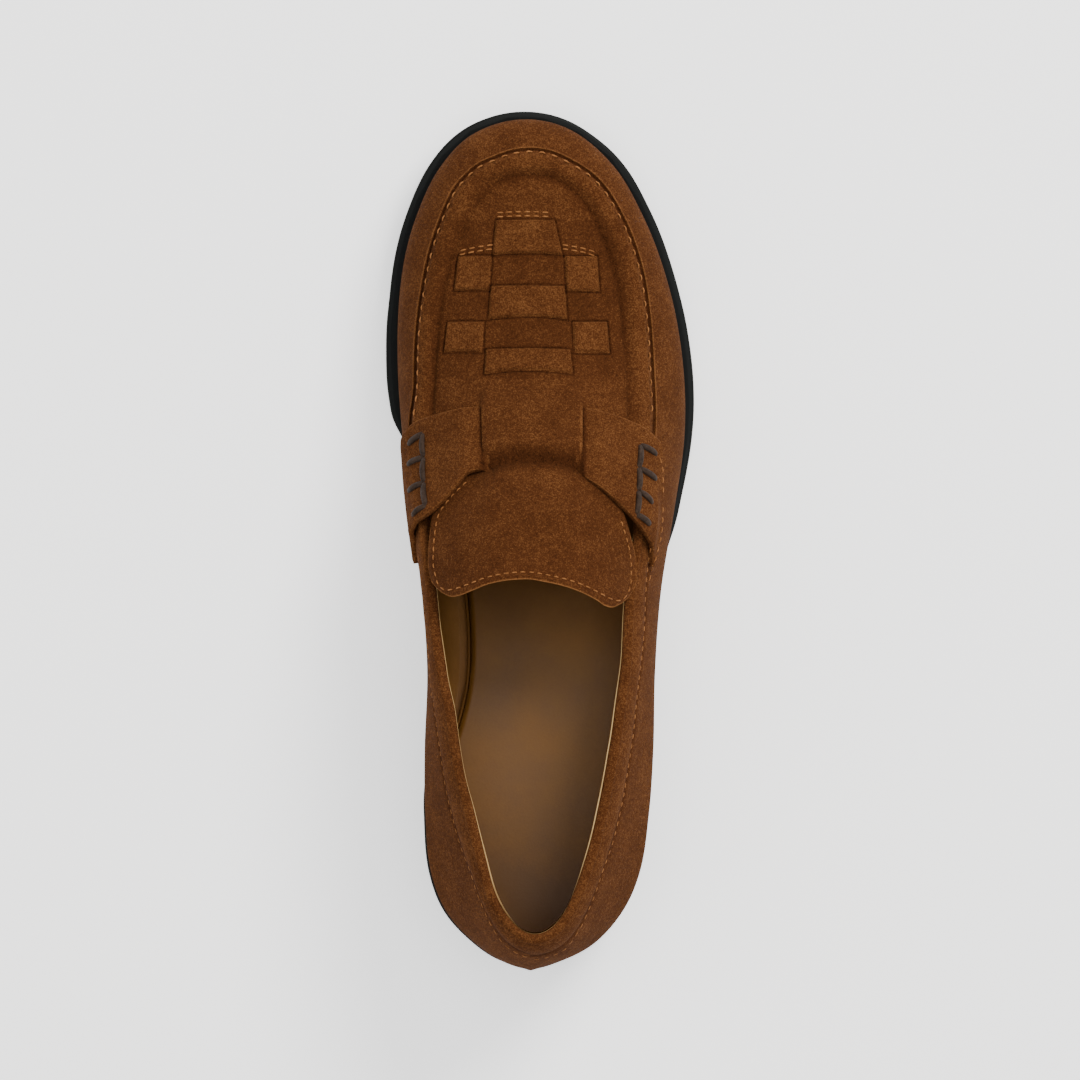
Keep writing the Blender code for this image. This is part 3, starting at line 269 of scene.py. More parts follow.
def closedCurve(points, perSpan=60):
    count = len(points)
    chords = [math.sqrt(np.linalg.norm(points[(i + 1) % count] - points[i])) for i in range(count)]
    samples = []
    for i in range(count):
        before, start = points[i - 1], points[i]
        end, after = points[(i + 1) % count], points[(i + 2) % count]
        left, middle, right = chords[i - 1], chords[i], chords[(i + 1) % count]
        leave = (end - start) / middle - (end - before) / (left + middle) + (start - before) / left
        arrive = (after - end) / right - (after - start) / (middle + right) + (end - start) / middle
        for step in range(perSpan):
            t = step / perSpan
            samples.append(
                (2 * t**3 - 3 * t**2 + 1) * start
                + (t**3 - 2 * t**2 + t) * middle * leave
                + (3 * t**2 - 2 * t**3) * end
                + (t**3 - t**2) * middle * arrive
            )
    return np.array(samples)


def outlineSides():
    rows = list(lateralOutline) + list(reversed(medialOutline))
    curve = closedCurve([onLast(across, along) for along, across in rows])
    ahead = np.roll(curve, -1, axis=0) - np.roll(curve, 1, axis=0)
    ahead /= np.linalg.norm(ahead, axis=1)[:, None]
    inward = np.stack([-ahead[:, 1], ahead[:, 0]], axis=1)
    toe = 60 * (len(lateralOutline) - 1)
    order = {
        "lateral": np.arange(0, toe + 1),
        "medial": np.concatenate([[0], np.arange(len(curve) - 1, toe - 1, -1)]),
    }
    sides = {}
    for side, index in order.items():
        points = curve[index]
        lengths = np.linalg.norm(np.diff(points, axis=0), axis=1)
        girth = np.concatenate([[0.0], np.cumsum(lengths)])
        sides[side] = (girth / girth[-1], points, inward[index], girth[-1])
    return sides


sides = outlineSides()


def sidePoint(side, girth):
    shares, points, inward, _ = sides[side]
    place = np.array([np.interp(girth, shares, points[:, axis]) for axis in (0, 1)])
    normal = np.array([np.interp(girth, shares, inward[:, axis]) for axis in (0, 1)])
    return place, normal / np.linalg.norm(normal)


class Wall:
    # One upright section, as insets from the outline and heights above the sole
    def __init__(self, side, girth):
        read = walls[side]
        self.side, self.girth = side, girth
        self.place, self.normal = sidePoint(side, girth)
        self.edgeIn = float(read("edgeIn", girth))
        self.edgeUp = float(read("edgeUp", girth))
        self.footIn = float(read("footIn", girth)) * last["archTuck"]
        self.wideUp = float(read("wideUp", girth)) * wallSizes["bulge"]
        self.lean = float(read("lean", girth))
        self.front = float(smooth(girth, *wallSizes["collarToSeam"]))
        self.shoulderIn = self.edgeIn - mix(wallSizes["roll"], wallSizes["seamEdge"], self.front)
        self.shoulderUp = self.edgeUp - mix(0.0012, 0.0009, self.front)
        self.topIn = self.edgeIn - mix(wallSizes["roll"] / 2.0, wallSizes["apronEdge"], self.front)
        foot = self.place + self.normal * self.footIn
        self.base = float(soleTop(foot[1])) + wallSizes["seatGap"]

    def inset(self, up):
        if up < self.wideUp:
            turn = math.acos(max(-1.0, 1.0 - up / self.wideUp))
            return self.footIn * (1.0 - math.sin(turn))
        share = (up - self.wideUp) / (self.shoulderUp - self.wideUp)
        return self.shoulderIn * share**self.lean

    def upAt(self, inset):
        share = (max(inset, 0.0) / self.shoulderIn) ** (1.0 / self.lean)
        return self.wideUp + min(share, 0.97) * (self.shoulderUp - self.wideUp)

    def solid(self, inset, up):
        plan = self.place + self.normal * inset
        return np.array([plan[0], plan[1], self.base + up])


class Top:
    # The bare top, by crosswise lines from the medial edge at share 0 to the lateral edge at 1
    def __init__(self, first=0.40, count=320):
        self.girths = np.linspace(first, 1.0, count)
        starts, ends, crowns = [], [], []
        for girth in self.girths:
            medial, lateral = Wall("medial", girth), Wall("lateral", girth)
            start = medial.solid(medial.topIn, medial.edgeUp)
            end = lateral.solid(lateral.topIn, lateral.edgeUp)
            height = (medial.base + lateral.base) / 2.0 + float(topLine("edgeUp", girth))
            starts.append(start)
            ends.append(end)
            crowns.append(height - (start[2] + end[2]) / 2.0)
        self.start, self.end, self.crown = np.array(starts), np.array(ends), np.array(crowns)
        self.width = np.maximum(self.end[:, 0] - self.start[:, 0], 0.0001)
        self.fall = 0.35 * (1.0 - smooth(self.girths, 0.82, 0.92))

    def rows(self, girths, shares):
        start = np.stack([np.interp(girths, self.girths, self.start[:, axis]) for axis in range(3)], axis=1)
        end = np.stack([np.interp(girths, self.girths, self.end[:, axis]) for axis in range(3)], axis=1)
        crown = np.interp(girths, self.girths, self.crown)
        grid = start[:, None, :] + (end - start)[:, None, :] * shares[None, :, None]
        grid[:, :, 2] += crown[:, None] * (1.0 - np.abs(2.0 * shares - 1.0) ** 2.3)[None, :]
        return grid

    def height(self, x, y):
        share = (x - self.start[:, 0]) / self.width
        held = np.clip(share, 0.0, 1.0)
        lines = self.start[:, 1] + (self.end[:, 1] - self.start[:, 1]) * held
        rise = self.crown * (1.0 - np.abs(2.0 * held - 1.0) ** 2.3)
        heights = self.start[:, 2] + (self.end[:, 2] - self.start[:, 2]) * held + rise
        heights = heights - np.abs(share - held) * self.width * self.fall
        return float(np.interp(y, lines, heights))


class Body:
    # Lines along the foot at a steady reach from the strap's centre, down onto both walls
    def __init__(self):
        self.girths = np.linspace(0.40, 0.72, 97)
        self.profiles = [self.profile(girth) for girth in self.girths]

    def profile(self, girth):
        medial, lateral = Wall("medial", girth), Wall("lateral", girth)
        ups = np.linspace(0.25, 1.0, 24)
        rising = self.climb(medial, ups)
        crossing = list(top.rows(np.array([girth]), np.linspace(0.0, 1.0, 61))[0])
        falling = self.climb(lateral, ups)[::-1]
        points = np.array(rising + crossing + falling)
        reach = lengthsAlong(points)
        middle = slice(len(rising), len(rising) + len(crossing))
        reach = reach - np.interp(-0.0026, points[middle, 0], reach[middle])
        return reach, points

    def climb(self, wall, ups):
        return [wall.solid(wall.inset(wall.shoulderUp * up), wall.shoulderUp * up) for up in ups]

    def column(self, reach):
        places = []
        for along, points in self.profiles:
            places.append([np.interp(reach, along, points[:, axis]) for axis in range(3)])
        return np.array(places)

    def line(self, reach):
        step = 0.0015
        low, high = self.column(reach - step), self.column(reach + step)
        middle = (low + high) / 2.0
        normals = np.cross(high - low, np.gradient(middle, axis=0))
        normals /= np.linalg.norm(normals, axis=1)[:, None]

        def at(y, lift):
            place = np.stack([np.interp(y, middle[:, 1], middle[:, axis]) for axis in range(3)], axis=-1)
            normal = np.stack([np.interp(y, middle[:, 1], normals[:, axis]) for axis in range(3)], axis=-1)
            normal /= np.linalg.norm(normal, axis=-1, keepdims=True)
            return place + normal * np.asarray(lift)[..., None]

        return at


top = Top()
body = Body()
print("sections ready")


def makeMesh(name, points, faces, material, tone=None, edge=None, sharp=None):
    mesh = bpy.data.meshes.new(name)
    mesh.from_pydata(np.asarray(points, float).tolist(), [], faces)
    mesh.shade_smooth()
    if sharp:
        mesh.set_sharp_from_angle(angle=math.radians(sharp))
    for label, values in (("tone", tone), ("edge", edge)):
        if values is not None:
            layer = mesh.attributes.new(label, "FLOAT", "POINT")
            layer.data.foreach_set("value", np.asarray(values, np.float32).ravel())
    mesh.materials.append(material)
    piece = bpy.data.objects.new(name, mesh)
    bpy.context.scene.collection.objects.link(piece)
    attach(piece, "root")
    return piece


def gridFaces(rows, columns, closed=False, flip=False):
    faces = []
    for row in range(rows if closed else rows - 1):
        after = (row + 1) % rows
        for column in range(columns - 1):
            here, there = row * columns + column, after * columns + column
            face = (here, here + 1, there + 1, there)
            faces.append(face[::-1] if flip else face)
    return faces


def gridNormals(grid):
    across = np.gradient(grid, axis=1)
    along = np.gradient(grid, axis=0)
    normals = np.cross(across, along)
    return normals / np.maximum(np.linalg.norm(normals, axis=2, keepdims=True), 1e-12)


def nearest(points, line):
    # Distance in plan to a finely sampled line, and the place along it
    lengths = lengthsAlong(line)
    distance = np.empty(len(points))
    place = np.empty(len(points))
    for start in range(0, len(points), 4000):
        part = points[start : start + 4000]
        gaps = np.linalg.norm(part[:, None, :] - line[None, :, :], axis=2)
        index = gaps.argmin(axis=1)
        distance[start : start + 4000] = gaps[np.arange(len(part)), index]
        place[start : start + 4000] = lengths[index]
    return distance, place


# Materials

# Brown suede: three colours, the fineness of nap, clumps and clouds, and how much each one shows
suede = {
    "dark": (0.0105, 0.0030, 0.0010),
    "middle": (0.0590, 0.0192, 0.0062),
    "light": (0.200, 0.082, 0.0270),
    "base": -0.215,
    "napScale": 2500.0,
    "napShare": 0.85,
    "napDepth": 0.00035,
    "clumpScale": 900.0,
    "clumpShare": 0.38,
    "cloudScale": 130.0,
    "cloudShare": 0.22,
    "edgeShare": 0.30,
    "sheen": 0.03,
}


def newMaterial(name):
    material = bpy.data.materials.new(name)
    material.use_nodes = True
    nodes = material.node_tree.nodes
    return material, nodes, material.node_tree.links, nodes["Principled BSDF"]


def noise(nodes, links, coords, scale, detail, roughness=0.55):
    node = nodes.new("ShaderNodeTexNoise")
    node.inputs["Scale"].default_value = scale
    node.inputs["Detail"].default_value = detail
    node.inputs["Roughness"].default_value = roughness
    links.new(coords.outputs["Object"], node.inputs["Vector"])
    return node


def mathNode(nodes, links, kind, first, second):
    node = nodes.new("ShaderNodeMath")
    node.operation = kind
    for socket, value in zip(node.inputs, (first, second)):
        if isinstance(value, (int, float)):
            socket.default_value = value
        else:
            links.new(value, socket)
    return node.outputs[0]


def ramp(nodes, links, factor, stops):
    node = nodes.new("ShaderNodeValToRGB")
    node.color_ramp.elements[0].position = stops[0][0]
    node.color_ramp.elements[0].color = (*stops[0][1], 1.0)
    node.color_ramp.elements[1].position = stops[-1][0]
    node.color_ramp.elements[1].color = (*stops[-1][1], 1.0)
    for position, colour in stops[1:-1]:
        element = node.color_ramp.elements.new(position)
        element.color = (*colour, 1.0)
    links.new(factor, node.inputs["Fac"])
    return node.outputs["Color"]


def attribute(nodes, name):
    node = nodes.new("ShaderNodeAttribute")
    node.attribute_name = name
    return node.outputs["Fac"]


def weightedSum(nodes, links, start, shares):
    value = start
    for socket, share in shares:
        part = mathNode(nodes, links, "MULTIPLY", socket, share)
        value = mathNode(nodes, links, "ADD", part, value)
    return value


def grainBump(nodes, links, shader, height, strength, depth):
    bump = nodes.new("ShaderNodeBump")
    bump.inputs["Strength"].default_value = strength
    bump.inputs["Distance"].default_value = depth
    links.new(height, bump.inputs["Height"])
    links.new(bump.outputs["Normal"], shader.inputs["Normal"])


def suedeMaterial(name):
    material, nodes, links, shader = newMaterial(name)
    coords = nodes.new("ShaderNodeTexCoord")
    nap = noise(nodes, links, coords, suede["napScale"], 3.0, 0.6)
    clump = noise(nodes, links, coords, suede["clumpScale"], 3.0, 0.6)
    cloud = noise(nodes, links, coords, suede["cloudScale"], 3.0, 0.5)
    value = weightedSum(nodes, links, suede["base"], (
        (nap.outputs["Fac"], suede["napShare"]),
        (clump.outputs["Fac"], suede["clumpShare"]),
        (cloud.outputs["Fac"], suede["cloudShare"]),
        (attribute(nodes, "tone"), 1.0),
        (attribute(nodes, "edge"), suede["edgeShare"]),
    ))
    stops = ((0.12, suede["dark"]), (0.50, suede["middle"]), (0.92, suede["light"]))
    links.new(ramp(nodes, links, value, stops), shader.inputs["Base Color"])
    shader.inputs["Roughness"].default_value = 0.92
    shader.inputs["Specular IOR Level"].default_value = 0.02
    shader.inputs["Sheen Weight"].default_value = suede["sheen"]
    shader.inputs["Sheen Roughness"].default_value = 0.45
    shader.inputs["Sheen Tint"].default_value = (0.80, 0.42, 0.17, 1.0)
    height = mathNode(nodes, links, "MULTIPLY", clump.outputs["Fac"], 1.2)
    height = mathNode(nodes, links, "ADD", nap.outputs["Fac"], height)
    grainBump(nodes, links, shader, height, 0.85, suede["napDepth"])
    return material


def leatherMaterial(name, dark, light, rough, grainScale, grainDepth, gloss=0.25):
    material, nodes, links, shader = newMaterial(name)
    coords = nodes.new("ShaderNodeTexCoord")
    cloud = noise(nodes, links, coords, 38.0, 4.0, 0.55)
    grain = noise(nodes, links, coords, grainScale, 4.0, 0.6)
    value = weightedSum(nodes, links, 0.02, (
        (cloud.outputs["Fac"], 0.8), (grain.outputs["Fac"], 0.18), (attribute(nodes, "tone"), 1.0),
    ))
    links.new(ramp(nodes, links, value, ((0.2, dark), (0.8, light))), shader.inputs["Base Color"])
    spread = mathNode(nodes, links, "MULTIPLY", cloud.outputs["Fac"], 0.22)
    links.new(mathNode(nodes, links, "ADD", spread, rough - 0.11), shader.inputs["Roughness"])
    shader.inputs["Specular IOR Level"].default_value = gloss
    grainBump(nodes, links, shader, grain.outputs["Fac"], 0.5, grainDepth)
    return material


def threadMaterial(name, dark, light, rough, twist):
    material, nodes, links, shader = newMaterial(name)
    coords = nodes.new("ShaderNodeTexCoord")
    fibre = noise(nodes, links, coords, twist, 3.0, 0.6)
    patch = noise(nodes, links, coords, 420.0, 2.0, 0.5)
    shares = ((fibre.outputs["Fac"], 0.6), (patch.outputs["Fac"], 0.45))
    value = weightedSum(nodes, links, 0.0, shares)
    links.new(ramp(nodes, links, value, ((0.3, dark), (0.75, light))), shader.inputs["Base Color"])
    shader.inputs["Roughness"].default_value = rough
    shader.inputs["Specular IOR Level"].default_value = 0.08
    grainBump(nodes, links, shader, fibre.outputs["Fac"], 0.6, 0.00012)
    return material


brownSuede = suedeMaterial("brownSuedeNap")

# Leathers and rubber: dark and light colour, roughness, grain scale and depth of the grain
insoleTan = leatherMaterial(
    "insoleTan", (0.078, 0.031, 0.0034), (0.158, 0.067, 0.0085), 0.52, 1500.0, 0.00008
)
liningBrown = leatherMaterial(
    "liningBrown", (0.160, 0.070, 0.014), (0.290, 0.135, 0.034), 0.58, 1700.0, 0.00008
)
edgeCream = leatherMaterial(
    "edgeCream", (0.26, 0.135, 0.045), (0.60, 0.40, 0.17), 0.60, 2400.0, 0.00005
)
rubberBlack = leatherMaterial(
    "rubberBlack", (0.0040, 0.0044, 0.0042), (0.0100, 0.0110, 0.0106), 0.50, 1900.0, 0.00003, gloss=0.06
)

# Threads: dark and light colour, roughness and scale of the twist
threadTan = threadMaterial("threadTan", (0.095, 0.030, 0.007), (0.34, 0.145, 0.048), 0.75, 3000.0)
laceDark = threadMaterial("laceDark", (0.011, 0.0064, 0.0042), (0.046, 0.0285, 0.0195), 0.66, 1500.0)
print("materials ready")


def stations(count):
    # Closer together round the heel and the toe
    shares = np.linspace(0.0, 1.0, count + 1)
    return shares - 0.25 * np.sin(2.0 * np.pi * shares) / (2.0 * np.pi)


def ringOrder(count):
    girths = stations(count)
    ring = [("lateral", girth) for girth in girths]
    ring += [("medial", girth) for girth in girths[-2:0:-1]]
    return ring


def evenBand(side):
    # Height of the band's seam along one side, smoothed so that it runs as one line
    girths = np.linspace(0.0, 0.62, 311)
    ups = []
    for girth in girths:
        wall = Wall(side, girth)
        ups.append(wall.upAt(float(bands[side]("inset", girth)) * mm))
    padded = np.concatenate([ups[30:0:-1], ups, [ups[-1]] * 30])
    kernel = np.exp(-(np.linspace(-2.4, 2.4, 61) ** 2))
    return girths, np.convolve(padded, kernel / kernel.sum(), mode="valid")


bandHeights = {side: evenBand(side) for side in ("lateral", "medial")}


def bandUpAt(side, girth):
    return float(np.interp(girth, *bandHeights[side]))


# Upper's skin: fineness of the mesh, puff and groove of the collar band, and the seam at the back
wallLook = {
    "stations": 300,
    "wallLevels": 46,
    "bandPuff": 0.0007,
    "bandGroove": 0.0006,
    "bandWidth": 0.0009,
    "backSeam": 0.0007,
}

# Rounded crest of the collar
crest = {"half": 0.0017, "rise": 0.0012}

# Raw lip of the wall ahead of the collar and the groove inside it: inset and height in millimetres
lipPath = (
    (-1.70, -0.90), (-1.66, -0.70), (-1.58, -0.52), (-1.46, -0.42), (-1.32, -0.44), (-1.22, -0.60),
    (-1.16, -0.66), (-1.08, -0.76), (-0.95, -0.82), (-0.75, -0.85), (-0.45, -0.95), (-0.1, -1.20),
    (0.4, -1.8), (1.4, -2.6), (2.6, -3.2),
)


def easeHeel(points, ring, count):
    # Evens the ring out round the heel, most at the collar
    grid = points.reshape(len(ring), count, 3)
    girths = np.array([girth for _, girth in ring])
    heel = 1.0 - smooth(girths, 0.10, 0.24)
    rising = smooth(np.linspace(0.0, 1.0, count), 0.25, 0.80)
    weight = (heel[:, None] * rising[None, :])[:, :, None]
    for _ in range(int(len(ring) * 0.35)):
        near = (np.roll(grid, 1, axis=0) + np.roll(grid, -1, axis=0)) / 2.0
        grid = mix(grid, near, 0.6 * weight)
    return grid.reshape(-1, 3)


def makeUpper():
    levels = wallLook["wallLevels"]
    ring = ringOrder(wallLook["stations"])
    points, tones, edges = [], [], []
    turns = np.linspace(0.0, math.pi, 15)
    for side, girth in ring:
        wall = Wall(side, girth)
        bandUp = min(bandUpAt(side, girth), wall.shoulderUp - 0.0015)
        shares = np.linspace(0.0, 1.0, levels)
        column, tone, edge = [], [], []
        quarter = 1.0 - wall.front
        nub = 0.0 if girth > 0.03 else float(bell(girth, 0.0, 0.004))
        for share in shares:
            up = wall.shoulderUp * (1.0 - (1.0 - share) ** 1.15)
            inset = wall.inset(up)
            above = (up - bandUp) / max(wall.shoulderUp - bandUp, 0.001)
            puff = wallLook["bandPuff"] * math.sin(math.pi * min(max(above, 0.0), 1.0)) ** 0.7
            away = (up - bandUp) / wallLook["bandWidth"]
            groove = wallLook["bandGroove"] * math.exp(-(away**2))
            # Soft ripples of the padded band and of the hand-lasted wall
            ripple = 0.00010 * math.sin(girth * 230.0 + up * 300.0) * max(0.0, min(above, 1.0))
            push = quarter * (puff - groove + ripple) + wallLook["backSeam"] * nub * min(1.0, up / 0.03)
            column.append(wall.solid(inset - push, up))
            # Painted shade in the groove of the collar band's seam; the band above it is painted a touch
            # lighter
            tone.append(-0.20 * quarter * math.exp(-(away**2)) + 0.03 * quarter * float(above > 0.0))
            edge.append(0.0)
        collar, lip = [], []
        for turn in turns:
            inset = wall.edgeIn - crest["half"] * (1.0 + math.cos(turn))
            collar.append(wall.solid(inset, wall.edgeUp - crest["rise"] * (1.0 - math.sin(turn))))
        for inset, up in lipPath:
            lip.append(wall.solid(wall.edgeIn + inset * mm, wall.edgeUp + up * mm))
        for index in range(1, len(turns)):
            column.append(mix(collar[index], lip[index], wall.front))
            raw = 1.0 if index <= 5 else 0.0
            # Painted shade in the groove inside the raw lip
            tone.append(wall.front * (-0.10 if index > 6 else 0.0))
            edge.append(wall.front * raw * 0.55 + (1.0 - wall.front) * 0.10)
        points += column
        tones += tone
        edges += edge
    count = levels + len(turns) - 1
    points = easeHeel(np.array(points), ring, count)
    faces = gridFaces(len(ring), count, closed=True)
    piece = makeMesh("upperSuede", points, faces, brownSuede, tones, edges)
    return piece


def makeLining():
    # Lining from the collar's crest down to the insole, with the vamp's lining above the toes
    ring = ringOrder(200)
    levels = 26
    points, tones = [], []
    for side, girth in ring:
        wall = Wall(side, girth)
        thick = wallSizes["thickness"]
        start = mix(wall.edgeUp - 0.0011, wall.edgeUp - 0.0034, wall.front)
        for share in np.linspace(0.0, 1.0, levels):
            up = start * (1.0 - share) ** 1.7 + 0.0002
            reach = wall.inset(min(up, wall.shoulderUp)) + thick
            lip = wall.edgeIn + mix(-0.0001, 0.0004, wall.front)
            blend = float(smooth(share, 0.0, 0.16))
            points.append(wall.solid(mix(lip, min(reach, lip + 0.02), blend), up))
            # Painted shade: the lining is painted darker down into the shoe, most at the seat
            tones.append(-0.10 * share)
        points.append(wall.solid(wall.footIn + thick + 0.0040, 0.0030))
        tones.append(-0.15)
    points = easeLining(np.array(points), ring, levels + 1)
    faces = gridFaces(len(ring), levels + 1, closed=True, flip=False)
    piece = makeMesh("quarterLining", points, faces, liningBrown, tones)
    return piece


def easeLining(points, ring, count):
    grid = points.reshape(len(ring), count, 3)[:, ::-1]
    return easeHeel(grid.reshape(-1, 3), ring, count).reshape(len(ring), count, 3)[:, ::-1].reshape(-1, 3)


# Raw edge of the lining inside the collar, by girth: how far in from the collar it stands, in millimetres
edgeRows = {
    "lateral": (
        (0.0, 0.15), (0.10, 0.10), (0.20, 0.45), (0.30, 0.42), (0.38, 0.25), (0.47, 0.20), (0.52, 0.05),
    ),
    "medial": (
        (0.0, 0.15), (0.06, 0.45), (0.13, 0.50), (0.20, 0.20), (0.30, 0.12), (0.42, 0.22), (0.50, 0.05),
    ),
}
liningEdges = {side: table(("girth", "shown"), rows) for side, rows in edgeRows.items()}


def makeLiningEdge():
    ring = ringOrder(wallLook["stations"])
    rows = []
    for side, girth in ring:
        wall = Wall(side, girth)
        shown = max(float(liningEdges[side]("shown", min(girth, 0.52))), 0.0) * mm
        places = (-0.5 * mm, shown * 0.6, shown, shown + 0.05 * mm, 0.0)
        row = []
        for inset, up in zip(places, (-2.0, -1.25, -1.35, -1.9, -3.0)):
            row.append(wall.solid(wall.edgeIn + inset - 0.00005, wall.edgeUp + up * mm))
        rows.append(row)
    points = easeLining(np.array(rows)[:, ::-1].reshape(-1, 3), ring, 5).reshape(len(ring), 5, 3)[:, ::-1]
    order = []
    for wanted in ("medial", "lateral"):
        order += [index for index, (side, girth) in enumerate(ring) if side == wanted and girth < 0.53]
    strip = points[order]
    faces = gridFaces(len(order), 5)
    piece = makeMesh("liningEdge", strip.reshape(-1, 3), faces, edgeCream, np.zeros(len(order) * 5))
    return piece


upperPiece = makeUpper()
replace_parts(upperPiece, "upper")
makeLining()
makeLiningEdge()
print("upper ready")


# Apron

# Rolled seam round the apron: step between stitches, height of the roll, crease and scallops
seamLook = {
    "pitch": 0.0041,
    "rollHeight": 0.0017,
    "creaseDepth": 0.00042,
    "creaseWidth": 0.00065,
    "pinch": 0.0004,
    "scallop": 0.35,
}

# Apron: woven strips raised over the ground, the painted shade in the slits, raw edges, and its rise and dip
# under the strap
apronLook = {
    "strips": 0.00075,
    "gaps": 0.00040,
    "gapShade": 0.26,
    "edgeNap": 0.55,
    "rise": 0.0015,
    "dip": 0.0022,
    "waves": 0.00012,
}


def seamLine(inward, count=420):
    points = []
    for side in ("lateral", "medial"):
        girths = np.linspace(0.56, 1.0, count)
        if side == "medial":
            girths = girths[-2::-1]
        for girth in girths:
            wall = Wall(side, girth)
            points.append(wall.place + wall.normal * (wall.edgeIn + inward))
    line = np.array(points)
    lengths = lengthsAlong(line)
    even = np.arange(0.0, lengths[-1], 0.0003)
    return np.stack([np.interp(even, lengths, line[:, axis]) for axis in (0, 1)], axis=1)


seam = seamLine(-wallSizes["apronEdge"])

# Raised lengths of strip, in millimetres: y front and rear, x left front and rear, x right front and rear,
# and the bow of the rear edge
weave = (
    (99.4, 88.6, -13.7, -14.8, 4.5, 7.0, 0.6),
    (78.9, 68.6, -15.4, -16.1, 7.7, 8.5, 0.9),
    (59.2, 51.5, -16.8, -17.4, 9.4, 10.2, 1.3),
    (88.3, 77.6, -25.5, -26.7, -15.1, -15.8, 0.1),
    (67.8, 58.4, -28.9, -29.9, -17.4, -18.0, 0.1),
    (88.2, 77.2, 7.7, 8.4, 17.8, 18.6, 0.1),
    (67.8, 58.1, 10.2, 10.7, 20.8, 21.7, 0.1),
)


def cellDistance(x, y, cell):
    # Signed distance in plan, negative inside the raised length
    front, rear, leftFront, leftRear, rightFront, rightRear, bow = [value * mm for value in cell]
    share = (y - rear) / (front - rear)
    left = mix(leftRear, leftFront, share)
    right = mix(rightRear, rightFront, share)
    middle, half = (left + right) / 2.0, (right - left) / 2.0
    arch = 1.0 - ((x - middle) / half) ** 2
    return np.maximum.reduce([left - x, x - right, y - front - 0.3 * bow * arch, rear + bow * arch - y])


# Crease inside the roll, as insets from the shoe's outline in millimetres, with its depth
creaseRows = {
    "lateral": (
        (0.56, 17.2, 1.0), (0.602, 17.3, 1.0), (0.637, 17.6, 1.0), (0.688, 17.4, 1.0),
        (0.738, 16.2, 1.0), (0.78, 15.1, 1.0),
        (0.813, 14.4, 1.0), (0.848, 14.0, 1.0), (0.885, 14.5, 0.9), (0.921, 15.6, 0.8),
        (0.96, 17.0, 0.8), (1.0, 18.1, 0.8),
    ),
    "medial": (
        (0.56, 9.6, 1.0), (0.625, 9.9, 1.0), (0.672, 11.4, 1.0), (0.74, 13.0, 0.7), (0.80, 14.4, 0.4),
        (0.85, 15.2, 0.35),
        (0.891, 15.9, 0.5), (0.926, 17.0, 0.7), (0.96, 17.7, 0.8), (1.0, 18.1, 0.8),
    ),
}
creases = {side: table(("girth", "inset", "depth"), rows) for side, rows in creaseRows.items()}


def creaseLine():
    line, depth = [], []
    for side in ("lateral", "medial"):
        girths = np.linspace(0.56, 1.0, 260)
        for girth in girths if side == "lateral" else girths[-2::-1]:
            place, normal = sidePoint(side, girth)
            line.append(place + normal * float(creases[side]("inset", girth)) * mm)
            depth.append(float(creases[side]("depth", girth)))
    return np.array(line), np.array(depth)


def rollRelief(inward, place, flat):
    line, depths = creaseLine()
    away, along = nearest(flat, line)
    lengths = lengthsAlong(line)
    depth = np.interp(along, lengths, depths)
    wide = np.clip(inward / (inward + away + 0.0001), 0.0, 1.0)
    roll = smooth(wide, 0.0, 0.32) * (1.0 - smooth(wide, 0.55, 1.0))
    puff = roll * outsideCrease(flat, line)
    crease = depth * (bell(away, 0.0, seamLook["creaseWidth"]) + 0.35 * bell(away, 0.0, 0.0018))
    stitch = np.cos(2.0 * np.pi * place / seamLook["pitch"])
    pinch = seamLook["scallop"] * smooth(stitch, 0.1, 1.0) * (1.0 - smooth(inward, 0.0006, 0.0030))
    relief = seamLook["rollHeight"] * puff * (1.0 - pinch) - seamLook["pinch"] * pinch
    return relief - seamLook["creaseDepth"] * crease, puff, crease


def outsideCrease(flat, line):
    # 1 between the seam and the crease, 0 on the flat inside the crease
    centre = np.array([-0.0035, 0.070])
    angles = np.arctan2(line[:, 0] - centre[0], line[:, 1] - centre[1])
    reaches = np.hypot(line[:, 0] - centre[0], line[:, 1] - centre[1])
    order = np.argsort(angles)
    angle = np.arctan2(flat[:, 0] - centre[0], flat[:, 1] - centre[1])
    reach = np.hypot(flat[:, 0] - centre[0], flat[:, 1] - centre[1])
    edge = np.interp(angle, angles[order], reaches[order])
    return smooth(reach - edge, -0.0004, 0.0004)


def weaveRelief(x, y):
    lift = np.zeros_like(x)
    tone = np.zeros_like(x)
    edge = np.zeros_like(x)
    for cell in weave:
        gap = cellDistance(x, y, cell)
        lift += apronLook["strips"] * smooth(-gap, -0.00005, 0.0006)
        lift -= apronLook["gaps"] * bell(gap, 0.00028, 0.00028)
        # Painted shade in the slit round each raised length; the raised lengths are painted a touch lighter
        tone += 0.03 * smooth(-gap, 0.0, 0.0005) - apronLook["gapShade"] * bell(gap, 0.00030, 0.00022)
        edge += apronLook["edgeNap"] * bell(gap, -0.00008, 0.00018)
    # Painted shade on the low ground of the weave field
    field = (np.abs(x + 0.0035) < 0.030) & (y > 0.050) & (y < 0.0995)
    tone += np.where(field & (lift < 0.0002), -0.045, 0.0)
    return lift, tone, edge


